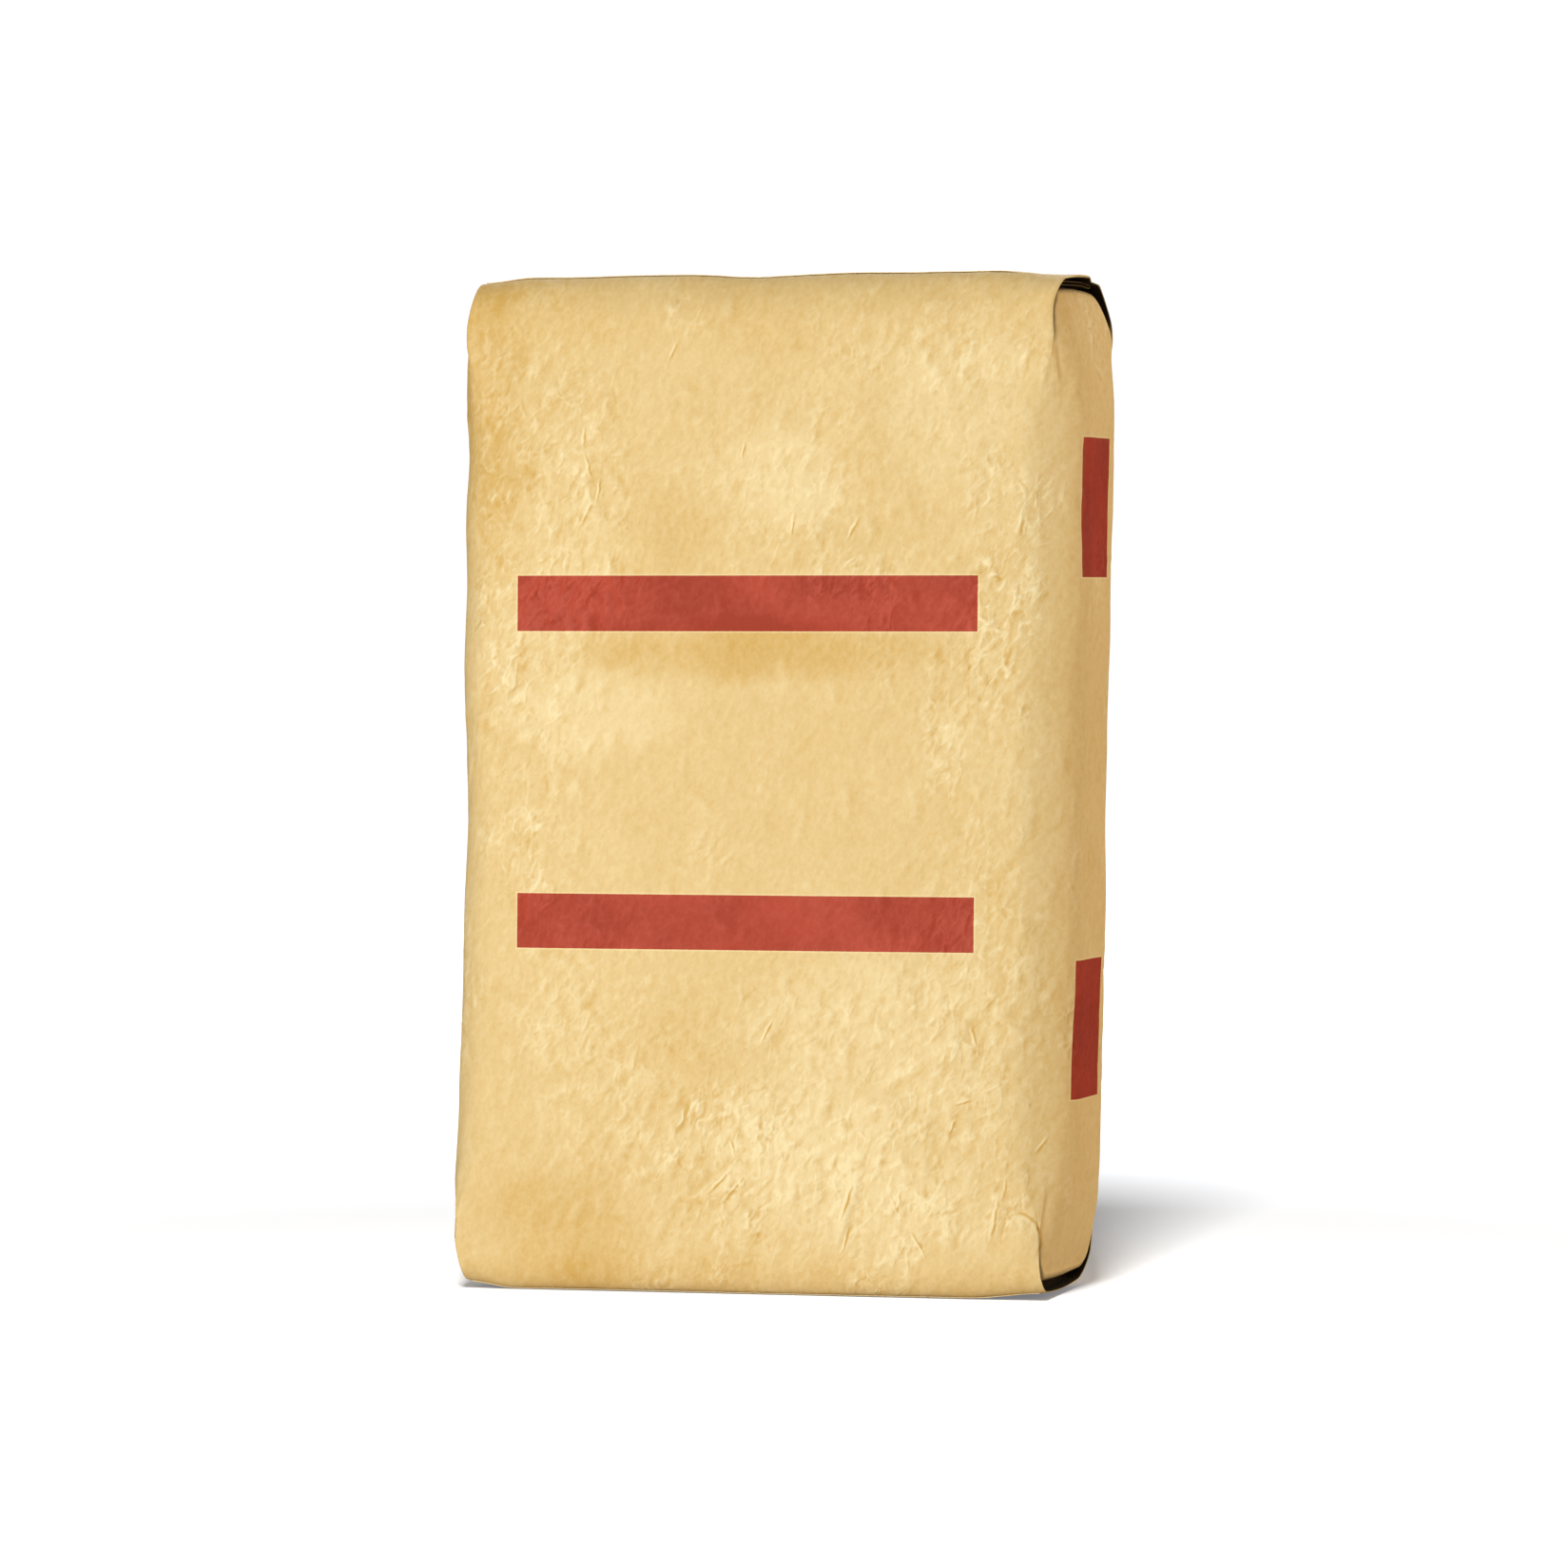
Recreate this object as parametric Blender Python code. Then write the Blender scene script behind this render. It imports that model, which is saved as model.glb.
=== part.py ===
"""A filled kraft valve sack of hydrated lime, standing on its block bottom.

The sack is lofted along its width: closed rings in the Y-Z plane run from the middle of the left
side, over the broad panels, to the middle of the right side. Near both ends the rings fold back
under the broad panels, which leaves the dark slot round each tucked end of a side.
+X is the right side, -Y the front panel, +Z up. Everything is in metres.
"""

import math

import bmesh
import bpy

# Driving dimensions of the filled sack
PANEL_WIDTH = 0.375
THICKNESS = 0.135
HEIGHT = 0.640
PAPER = 0.0005
GAP = 0.0003

# Shape of the filled body
EDGE_RADIUS = 0.015
CORNER_RADIUS = {-1: 0.026, 1: 0.034}
SIDE_BULGE = 0.013
LEFT_WAIST = 0.0035
PANEL_CROWN = 0.004
LEAN = 0.0135
CORNER_LIFT = 0.003
CORNER_LIFT_REACH = 0.045

# The tucks at the ends of each side
TUCK_DEPTH = 0.009
LIP_FLARE = {(-1, -1): 0.0045, (-1, 1): 0.0045, (1, -1): 0.001, (1, 1): 0.006}
LIP_FLARE_REACH = 0.038
TUCK_GAP_SIDE = 0.0015
TUCK_GAP_END = 0.0050
LIP_THICKNESS = 0.0019
TUCK_FULL_WITHIN = 0.040
TUCK_GONE_BEYOND = 0.078
TONGUE_INSET = 0.004
TONGUE_CURVE_REACH = 0.085
TONGUE_EDGE = 0.0012

# End patches and valve
PATCH_WIDTH = 0.104
PATCH_LENGTH = 0.368
PATCH_PAPER = 0.0005
SLEEVE_WIDTH = 0.095
SLEEVE_LENGTH = 0.110
SLEEVE_THICKNESS = 0.0016
SLEEVE_PAPER = 0.0004
SLEEVE_DROP = 0.0024
SLEEVE_CENTRE_Y = -0.004

# The lime inside
LIME_CLEARANCE = 0.0010
LIME_HEADSPACE = 0.0076
LIME_CORNER_SETBACK = 0.0040

# Divisions of a ring
PANEL_LEVELS = (0.0, 0.020, 0.040, 0.058, 0.080, 0.120, 0.190)
END_SEGMENTS = 6
ARC_SEGMENTS = 4

# The sack stands on its bottom patch, with a gap between the two sheets
BASE_Z = PATCH_PAPER + GAP
BODY_HEIGHT = HEIGHT - 2.0 * BASE_Z
HALF_WIDTH = PANEL_WIDTH / 2.0
HALF_THICKNESS = THICKNESS / 2.0
HALF_BODY = BODY_HEIGHT / 2.0
CENTRE_Z = HEIGHT / 2.0


def mix(a, b, share):
    """The value that lies share of the way from a to b."""
    return a + (b - a) * share


def smooth_step(value, low, high):
    """0 below low, 1 above high, and a smooth rise between."""
    t = min(max((value - low) / (high - low), 0.0), 1.0)
    return t * t * (3.0 - 2.0 * t)


def tuck_share(z):
    """1 near both ends, where the sides are tucked, and 0 along the middle."""
    from_end = HALF_BODY - abs(z)
    return 1.0 - smooth_step(from_end, TUCK_FULL_WITHIN, TUCK_GONE_BEYOND)


def side_bulge(side, z):
    """How far the side stands out past the broad panels' edges. The left side has a slight waist."""
    waist = LEFT_WAIST if side < 0 else 0.0
    return SIDE_BULGE - waist * math.cos(0.5 * math.pi * z / HALF_BODY) ** 2


def side_plane(side, z, end_inset):
    """Half the sack's width at the middle of a side, drawn in where the side is tucked."""
    from_edge = HALF_BODY - end_inset - abs(z)
    share = min(max(from_edge / TONGUE_CURVE_REACH, 0.0), 1.0)
    inset = TONGUE_INSET + side_bulge(side, z)
    return HALF_WIDTH + side_bulge(side, z) - inset * (1.0 - share) ** 2.2


def round_corner(side, depth):
    """How far the rounded corner lies behind the side's plane, depth behind the panel."""
    radius = CORNER_RADIUS[side]
    if depth >= radius:
        return 0.0
    return radius - math.sqrt(radius**2 - (radius - depth) ** 2)


def corner_x(side, z, depth):
    """The rounded corner's place along X, where nothing is tucked."""
    return HALF_WIDTH + side_bulge(side, z) - round_corner(side, depth)


def lip_flare(side, y, z):
    """How far a lip leans out past its end corner, on its way to the rounded corner."""
    from_end = HALF_BODY - abs(z)
    across = min(max(0.5 + y / (1.6 * HALF_THICKNESS), 0.0), 1.0)
    most = mix(LIP_FLARE[(side, -1)], LIP_FLARE[(side, 1)], across)
    return most * smooth_step(from_end, 0.0, LIP_FLARE_REACH)


def tongue_x(side, y, z, front_inset, end_inset):
    """The side panel's place along X, from the tuck to the middle of the side."""
    depth = HALF_THICKNESS - abs(y)
    tucked = tuck_share(z)
    edge = max(0.0, 1.0 - (depth - front_inset) / 0.012) ** 2 * TONGUE_EDGE
    rounding = mix(round_corner(side, depth), edge, tucked)
    return side_plane(side, z, end_inset) - rounding


def outline(front_depth, end_depth, radius, flare):
    """One ring's points in the Y-Z plane, about the sack's centre, from the front panel's foot up.

    front_depth(z) is how far the ring lies inside the broad panels, end_depth how far it lies
    inside the block ends, and flare the extra height that its straight sides give to the corners.
    """
    top = HALF_BODY - end_depth
    straight = top - radius - flare
    span = HALF_BODY - EDGE_RADIUS
    levels = [span - level for level in PANEL_LEVELS] + [0.0]
    heights = [straight * level / span for level in levels]
    panel = [-h for h in heights] + heights[-2::-1]
    front = [(-(HALF_THICKNESS - front_depth(z)), z) for z in panel]
    edge = HALF_THICKNESS - front_depth(straight)
    arc = []
    for i in range(1, ARC_SEGMENTS):
        angle = 0.5 * math.pi * i / ARC_SEGMENTS
        y = -(edge - radius) - radius * math.cos(angle)
        z = straight + (top - straight) * math.sin(angle)
        arc.append((y, z))
    half_end = edge - radius
    end = [(mix(-half_end, half_end, i / END_SEGMENTS), top) for i in range(END_SEGMENTS + 1)]
    upper = front + arc + end + [(-y, z) for y, z in reversed(arc)]
    return upper + [(-y, -z) for y, z in upper]


def place(x, y, z):
    """A point of the sack with the panels' crown, the lifted end corners and the lean added."""
    across = min(abs(x) / HALF_WIDTH, 1.0)
    along = min(abs(z) / HALF_BODY, 1.0)
    crown = PANEL_CROWN * (1.0 - across**2) * (1.0 - along**4)
    lift = CORNER_LIFT * smooth_step(abs(x), HALF_WIDTH - CORNER_LIFT_REACH, HALF_WIDTH)
    y_out = y * (1.0 + crown / HALF_THICKNESS)
    z_out = z * (1.0 - lift / HALF_BODY)
    return (x + LEAN * z_out, y_out, CENTRE_Z + z_out)


def loft(name, rings, colour, roughness):
    """A closed mesh object through the rings, with each end closed across its last ring."""
    bm = bmesh.new()
    loops = [[bm.verts.new(place(*point)) for point in ring] for ring in rings]
    count = len(loops[0])
    for here, there in zip(loops, loops[1:]):
        for i in range(count):
            j = (i + 1) % count
            bm.faces.new((here[i], here[j], there[j], there[i]))
    panel = 2 * len(PANEL_LEVELS) + 1
    half = count // 2
    for ring in (loops[0], loops[-1]):
        front, back = ring[:panel], ring[half:half + panel][::-1]
        for i in range(panel - 1):
            bm.faces.new((front[i], front[i + 1], back[i + 1], back[i]))
        bm.faces.new(ring[panel - 1:half + 1])
        bm.faces.new(ring[half + panel - 1:] + ring[:1])
    bmesh.ops.recalc_face_normals(bm, faces=bm.faces)
    return finish(name, bm, colour, roughness)


def material(name, colour, roughness):
    """A Principled material of one colour."""
    made = bpy.data.materials.new(name)
    made.use_nodes = True
    shader = made.node_tree.nodes["Principled BSDF"]
    shader.inputs["Base Color"].default_value = (*colour, 1.0)
    shader.inputs["Roughness"].default_value = roughness
    shader.inputs["Metallic"].default_value = 0.0
    return made


def finish(name, bm, colour, roughness):
    """Turns a bmesh into a smooth-shaded object of that name with its own material."""
    mesh = bpy.data.meshes.new(name)
    bm.to_mesh(mesh)
    bm.free()
    mesh.materials.append(material(name, colour, roughness))
    mesh.shade_smooth()
    mesh.set_sharp_from_angle(angle=math.radians(50.0))
    made = bpy.data.objects.new(name, mesh)
    bpy.context.scene.collection.objects.link(made)
    return made


def solid_box(name, low, high, colour, roughness):
    """A box between two corners."""
    bm = bmesh.new()
    bmesh.ops.create_cube(bm, size=1.0)
    for vertex in bm.verts:
        for axis in range(3):
            vertex.co[axis] = mix(low[axis], high[axis], vertex.co[axis] + 0.5)
    return finish(name, bm, colour, roughness)


def subtract(target, cutter):
    """Cuts cutter out of target with a Boolean, and hides the cutter."""
    cut = target.modifiers.new("cut_" + cutter.name, "BOOLEAN")
    cut.operation = "DIFFERENCE"
    cut.solver = "EXACT"
    cut.object = cutter
    cutter.hide_render = True
    cutter.display_type = "WIRE"


def corner_ring(side, mid_depth, end_x, front_end, block_end, radius):
    """A ring of the corner: on the rounded corner mid-height, at end_x where the side is tucked."""
    def depth(z):
        return mix(mid_depth, front_end, tuck_share(z))

    points = []
    for y, z in outline(depth, block_end, radius, 0.0):
        lip_x = end_x + lip_flare(side, y, z)
        x = mix(corner_x(side, z, mid_depth), lip_x, tuck_share(z))
        points.append((side * x, y, z))
    return points


def panel_ring(x):
    """A ring across the broad panels and the block ends."""
    return [(x, y, z) for y, z in outline(lambda z: 0.0, 0.0, EDGE_RADIUS, 0.0)]


def tongue_ring(side, inset, radius, front_inset, end_inset):
    """A ring of the side panel, inset from the broad panels and from the block ends alike."""
    points = []
    for y, z in outline(lambda z: inset, inset, radius, 0.0):
        points.append((side * tongue_x(side, y, z, front_inset, end_inset), y, z))
    return points


def shoulder_ring(side, back):
    """A ring on the broad panels, back from where the rounded corner or the lip begins."""
    points = []
    for y, z in outline(lambda z: 0.0, 0.0, EDGE_RADIUS, 0.0):
        rounded = HALF_WIDTH + side_bulge(side, z) - CORNER_RADIUS[side] - back
        x = mix(rounded, HALF_WIDTH - 0.009 - back, tuck_share(z))
        points.append((side * x, y, z))
    return points


def sack_side(side):
    """The rings from the broad panels round the lip, through the tuck, to the middle of a side."""
    inner_side = LIP_THICKNESS + TUCK_GAP_SIDE
    inner_end = LIP_THICKNESS + TUCK_GAP_END
    front_inset = inner_side + TONGUE_EDGE
    end_inset = inner_end + TONGUE_EDGE
    lip_x = HALF_WIDTH
    slot_x = HALF_WIDTH - TUCK_DEPTH
    rings = [
        shoulder_ring(side, 0.010),
        shoulder_ring(side, 0.0),
        corner_ring(side, 0.0010, lip_x - 0.0004, 0.0, 0.0, EDGE_RADIUS),
        corner_ring(side, 0.0018, lip_x, 0.0006, 0.0006, EDGE_RADIUS - 0.0006),
        corner_ring(side, 0.0030, lip_x - 0.0002, LIP_THICKNESS - 0.0004,
                    LIP_THICKNESS - 0.0004, EDGE_RADIUS - 0.0015),
        corner_ring(side, 0.0048, slot_x, LIP_THICKNESS, LIP_THICKNESS, EDGE_RADIUS - 0.0019),
        corner_ring(side, 0.0070, slot_x, inner_side, inner_end, EDGE_RADIUS + 0.002),
    ]

    def depth(z):
        return mix(0.0095, front_inset, tuck_share(z))

    edge = []
    for y, z in outline(depth, end_inset, EDGE_RADIUS + 0.005, 0.0):
        edge.append((side * tongue_x(side, y, z, front_inset, end_inset), y, z))
    rings.append(edge)
    for inset, radius in ((0.015, 0.017), (0.024, 0.014), (0.036, 0.010), (0.050, 0.006)):
        rings.append(tongue_ring(side, inset, radius, front_inset, end_inset))
    return rings


def make_sack():
    """The paper tube with its folded block ends, hollow, with the valve's slot at the top right."""
    middle = [panel_ring(x) for x in (-0.130, -0.085, 0.0, 0.085, 0.130)]
    rings = sack_side(-1)[::-1] + middle + sack_side(1)
    sack = loft("paper_sack", rings, (0.83, 0.62, 0.30), 0.82)
    wall = sack.modifiers.new("wall", "SOLIDIFY")
    wall.thickness = PAPER
    wall.offset = -1.0
    wall.use_even_offset = True
    wall.use_quality_normals = True
    return sack


def valve_place():
    """The lean at the sleeve's height, the sleeve's mouth and its upper and lower faces."""
    top = BASE_Z + BODY_HEIGHT - CORNER_LIFT - SLEEVE_DROP
    lean = LEAN * (top - CENTRE_Z)
    return HALF_WIDTH - 0.0015 + lean, top, top - SLEEVE_THICKNESS


def make_valve(sack):
    """The flat paper sleeve in the top right corner, and its slot through the sack's wall."""
    mouth, top, foot = valve_place()
    low_y = SLEEVE_CENTRE_Y - SLEEVE_WIDTH / 2.0
    high_y = SLEEVE_CENTRE_Y + SLEEVE_WIDTH / 2.0
    slot = solid_box(
        "valve_slot_cutter",
        (mouth - TUCK_DEPTH - 0.006, low_y - GAP, foot - GAP),
        (mouth - TUCK_DEPTH + 0.006, high_y + GAP, top + GAP),
        (0.0, 0.0, 0.0), 1.0)
    subtract(sack, slot)
    sleeve = solid_box(
        "valve_sleeve",
        (mouth - SLEEVE_LENGTH, low_y, foot),
        (mouth, high_y, top),
        (0.80, 0.60, 0.32), 0.85)
    channel = solid_box(
        "valve_channel_cutter",
        (mouth - SLEEVE_LENGTH - 0.005, low_y + SLEEVE_PAPER, foot + SLEEVE_PAPER),
        (mouth + 0.005, high_y - SLEEVE_PAPER, top - SLEEVE_PAPER),
        (0.0, 0.0, 0.0), 1.0)
    subtract(sleeve, channel)
    return sleeve


def make_lime():
    """The powder, which fills the sack up to a small headspace and stays out of the tucks."""
    clear = LIME_CLEARANCE + PAPER
    wall_side = LIP_THICKNESS + TUCK_GAP_SIDE + TONGUE_EDGE
    wall_end = LIP_THICKNESS + TUCK_GAP_END + TONGUE_EDGE
    setback = HALF_WIDTH - TUCK_DEPTH - LIME_CORNER_SETBACK

    def broad(x):
        return [(x, y, z) for y, z in outline(lambda z: clear, LIME_HEADSPACE, 0.014, 0.0)]

    def shoulder(side, mid_depth, end_depth, end_x, mid_back):
        points = []
        for y, z in outline(lambda z: mix(mid_depth, end_depth, tuck_share(z)),
                            LIME_HEADSPACE + end_depth, 0.014, 0.0):
            x = mix(corner_x(side, z, mid_depth) - mid_back, end_x, tuck_share(z))
            points.append((side * x, y, z))
        return points

    def side_rings(side):
        rings = [
            shoulder(side, clear, clear, setback - 0.014, clear + 0.010),
            shoulder(side, 0.0045, clear + 0.001, setback, clear + 0.001),
            shoulder(side, 0.0095, wall_side + 0.003, setback, clear + 0.0005),
        ]
        for inset, radius in ((0.016, 0.016), (0.026, 0.013), (0.038, 0.009), (0.051, 0.005)):
            ring = []
            for y, z in outline(lambda z: inset, inset + 0.002, radius, 0.0):
                x = tongue_x(side, y, z, wall_side, wall_end) - clear
                ring.append((side * x, y, z))
            rings.append(ring)
        return rings

    middle = [broad(x) for x in (-0.130, -0.085, 0.0, 0.085, 0.130)]
    rings = side_rings(-1)[::-1] + middle + side_rings(1)
    return loft("lime_fill", rings, (0.92, 0.91, 0.88), 0.95)


def make_patch(name, end):
    """The kraft strip pasted over a block end, following its lifted corners. end is -1 or +1."""
    columns, rows = 24, 4
    bm = bmesh.new()

    def sheet(level):
        grid = []
        for i in range(columns + 1):
            x = mix(-PATCH_LENGTH / 2.0, PATCH_LENGTH / 2.0, i / columns)
            line = []
            for j in range(rows + 1):
                y = mix(-PATCH_WIDTH / 2.0, PATCH_WIDTH / 2.0, j / rows)
                px, _, pz = place(x, y, end * HALF_BODY)
                line.append(bm.verts.new((px, y, pz + end * level)))
            grid.append(line)
        return grid

    inner, outer = sheet(GAP), sheet(GAP + PATCH_PAPER)
    for grid in (inner, outer):
        for i in range(columns):
            for j in range(rows):
                bm.faces.new((grid[i][j], grid[i + 1][j], grid[i + 1][j + 1], grid[i][j + 1]))
    for i in range(columns):
        for j in (0, rows):
            bm.faces.new((inner[i][j], inner[i + 1][j], outer[i + 1][j], outer[i][j]))
    for j in range(rows):
        for i in (0, columns):
            bm.faces.new((inner[i][j], inner[i][j + 1], outer[i][j + 1], outer[i][j]))
    bmesh.ops.recalc_face_normals(bm, faces=bm.faces)
    return finish(name, bm, (0.82, 0.61, 0.31), 0.84)


def centre_on_origin(parts):
    """Hangs the pieces on an empty that puts their bounding box's middle on the Z axis."""
    root = bpy.data.objects.new("sack_origin", None)
    bpy.context.scene.collection.objects.link(root)
    corners = [vertex.co for part in parts for vertex in part.data.vertices]
    for axis in (0, 1):
        low = min(corner[axis] for corner in corners)
        high = max(corner[axis] for corner in corners)
        root.location[axis] = -(low + high) / 2.0
    for part in parts:
        part.parent = root
    for cutter in [made for made in bpy.data.objects if made.name.endswith("_cutter")]:
        cutter.parent = root


def main():
    """Clears the scene and makes the sack and its pieces."""
    for old in list(bpy.data.objects):
        bpy.data.objects.remove(old)
    sack = make_sack()
    sleeve = make_valve(sack)
    lime = make_lime()
    patches = [make_patch("bottom_patch", -1), make_patch("top_patch", 1)]
    centre_on_origin([sack, sleeve, lime, *patches])


main()
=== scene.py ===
"""Looks of a filled kraft valve sack of hydrated lime that stands on its pasted block bottom.

The paper sack is a lofted shell: closed rings in the Y-Z plane run from the middle of the left
side, over the broad panels, to the middle of the right side. Near both ends the rings fold back
under the broad panels, which leaves the slot round each tucked end of a side. The slot's dark is
partly real shade and partly painted shade, a near black mixed into the paper's colour.
+X is the right side, -Y the front panel and +Z up. All lengths are in metres.
"""

import logging
import math
from dataclasses import dataclass, field, replace
from enum import Enum
from typing import Sequence

import bpy
import numpy as np
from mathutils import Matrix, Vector


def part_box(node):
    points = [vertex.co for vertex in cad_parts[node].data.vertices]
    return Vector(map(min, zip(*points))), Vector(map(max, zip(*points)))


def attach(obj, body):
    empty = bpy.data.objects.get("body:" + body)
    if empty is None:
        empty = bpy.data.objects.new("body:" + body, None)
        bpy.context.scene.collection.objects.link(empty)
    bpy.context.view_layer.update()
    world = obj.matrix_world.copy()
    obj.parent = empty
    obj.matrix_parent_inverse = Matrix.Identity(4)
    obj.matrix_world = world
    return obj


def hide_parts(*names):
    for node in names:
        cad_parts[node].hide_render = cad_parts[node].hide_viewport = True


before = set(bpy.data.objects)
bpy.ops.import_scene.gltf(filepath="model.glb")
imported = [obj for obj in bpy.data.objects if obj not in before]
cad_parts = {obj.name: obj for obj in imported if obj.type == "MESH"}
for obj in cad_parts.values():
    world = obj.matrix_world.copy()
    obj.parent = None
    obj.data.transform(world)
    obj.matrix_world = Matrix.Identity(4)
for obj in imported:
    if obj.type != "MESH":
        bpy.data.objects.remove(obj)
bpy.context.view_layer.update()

log = logging.getLogger("lime_sack")

MM = 0.001
WELD_REACH = 1e-6
POWDER_WELD_REACH = 1e-5
LEAST_LENGTH = 1e-12
CRISP_ANGLE = 40.0
FRONT_FROM = -0.040
WHITE = (1.0, 1.0, 1.0)


class Side(Enum):
    """The two narrow sides of the sack."""

    LEFT = -1
    RIGHT = 1


class End(Enum):
    """The two block ends of the sack."""

    BOTTOM = -1
    TOP = 1


def smooth_step(value: np.ndarray, low: float, high: float) -> np.ndarray:
    """A smooth rise from 0 at low to 1 at high.

    Args:
        value: The numbers to map.
        low: Where the rise begins.
        high: Where the rise ends.

    Returns:
        Numbers from 0 to 1.
    """
    share = np.clip((np.asarray(value, float) - low) / (high - low), 0.0, 1.0)
    return share * share * (3.0 - 2.0 * share)


def blend(a: np.ndarray, b: np.ndarray, share: np.ndarray) -> np.ndarray:
    """The value that lies share of the way from a to b."""
    return a + (b - a) * share


class PaperNoise:
    """Smooth repeatable noise in space, from a hashed lattice."""

    OCTAVE_SHIFT = 3.7

    def __init__(self, seed: int) -> None:
        """Keeps the seed that sets this noise apart from the others."""
        self.seed = seed

    def _corner(self, cell: np.ndarray) -> np.ndarray:
        """The lattice value of each integer cell corner.

        Args:
            cell: Integer corners, N by 3.

        Returns:
            Numbers from -1 to 1.
        """
        mixed = (cell[:, 0] * 73856093) ^ (cell[:, 1] * 19349663) ^ (cell[:, 2] * 83492791)
        mixed = (mixed + self.seed * 2654435761) & 0xFFFFFFFF
        mixed = ((mixed ^ (mixed >> 15)) * 2246822519) & 0xFFFFFFFF
        mixed = ((mixed ^ (mixed >> 13)) * 3266489917) & 0xFFFFFFFF
        mixed = mixed ^ (mixed >> 16)
        return mixed / 2147483647.5 - 1.0

    def at(self, points: np.ndarray, period: Sequence[float]) -> np.ndarray:
        """Noise at some points.

        Args:
            points: N by 3 points in metres.
            period: The size of a lattice cell along X, Y and Z.

        Returns:
            N numbers from -1 to 1.
        """
        scaled = points / np.asarray(period, float)
        cell = np.floor(scaled).astype(np.int64)
        part = scaled - cell
        fade = part**3 * (part * (part * 6.0 - 15.0) + 10.0)
        total = np.zeros(len(points))
        for corner in range(8):
            step = np.array([(corner >> axis) & 1 for axis in range(3)])
            weight = np.prod(np.where(step == 1, fade, 1.0 - fade), axis=1)
            total += weight * self._corner(cell + step)
        return total

    def layers(self, points: np.ndarray, period: Sequence[float], count: int) -> np.ndarray:
        """Several octaves of the noise, each half as large and half as strong.

        Args:
            points: N by 3 points in metres.
            period: The size of the largest lattice cell.
            count: How many octaves to add.

        Returns:
            N numbers, mostly from -1 to 1.
        """
        total, strength = np.zeros(len(points)), 1.0
        size = np.asarray(period, float)
        for octave in range(count):
            total += strength * self.at(points + self.OCTAVE_SHIFT * octave, size)
            strength *= 0.5
            size = size * 0.5
        return total


@dataclass(frozen=True)
class TuckedCorner:
    """One end of one side, where the side is tucked in under the broad panels.

    The flares are how far the lips stand out, and the tips how much further they reach at the very
    end. lift raises the corner over lift_reach, and the rounds are the radii of the block's edges.
    """

    flare_front: float
    flare_back: float
    tip_front: float
    tip_back: float
    lift: float
    lift_reach: float
    round_front: float
    round_back: float


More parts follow.
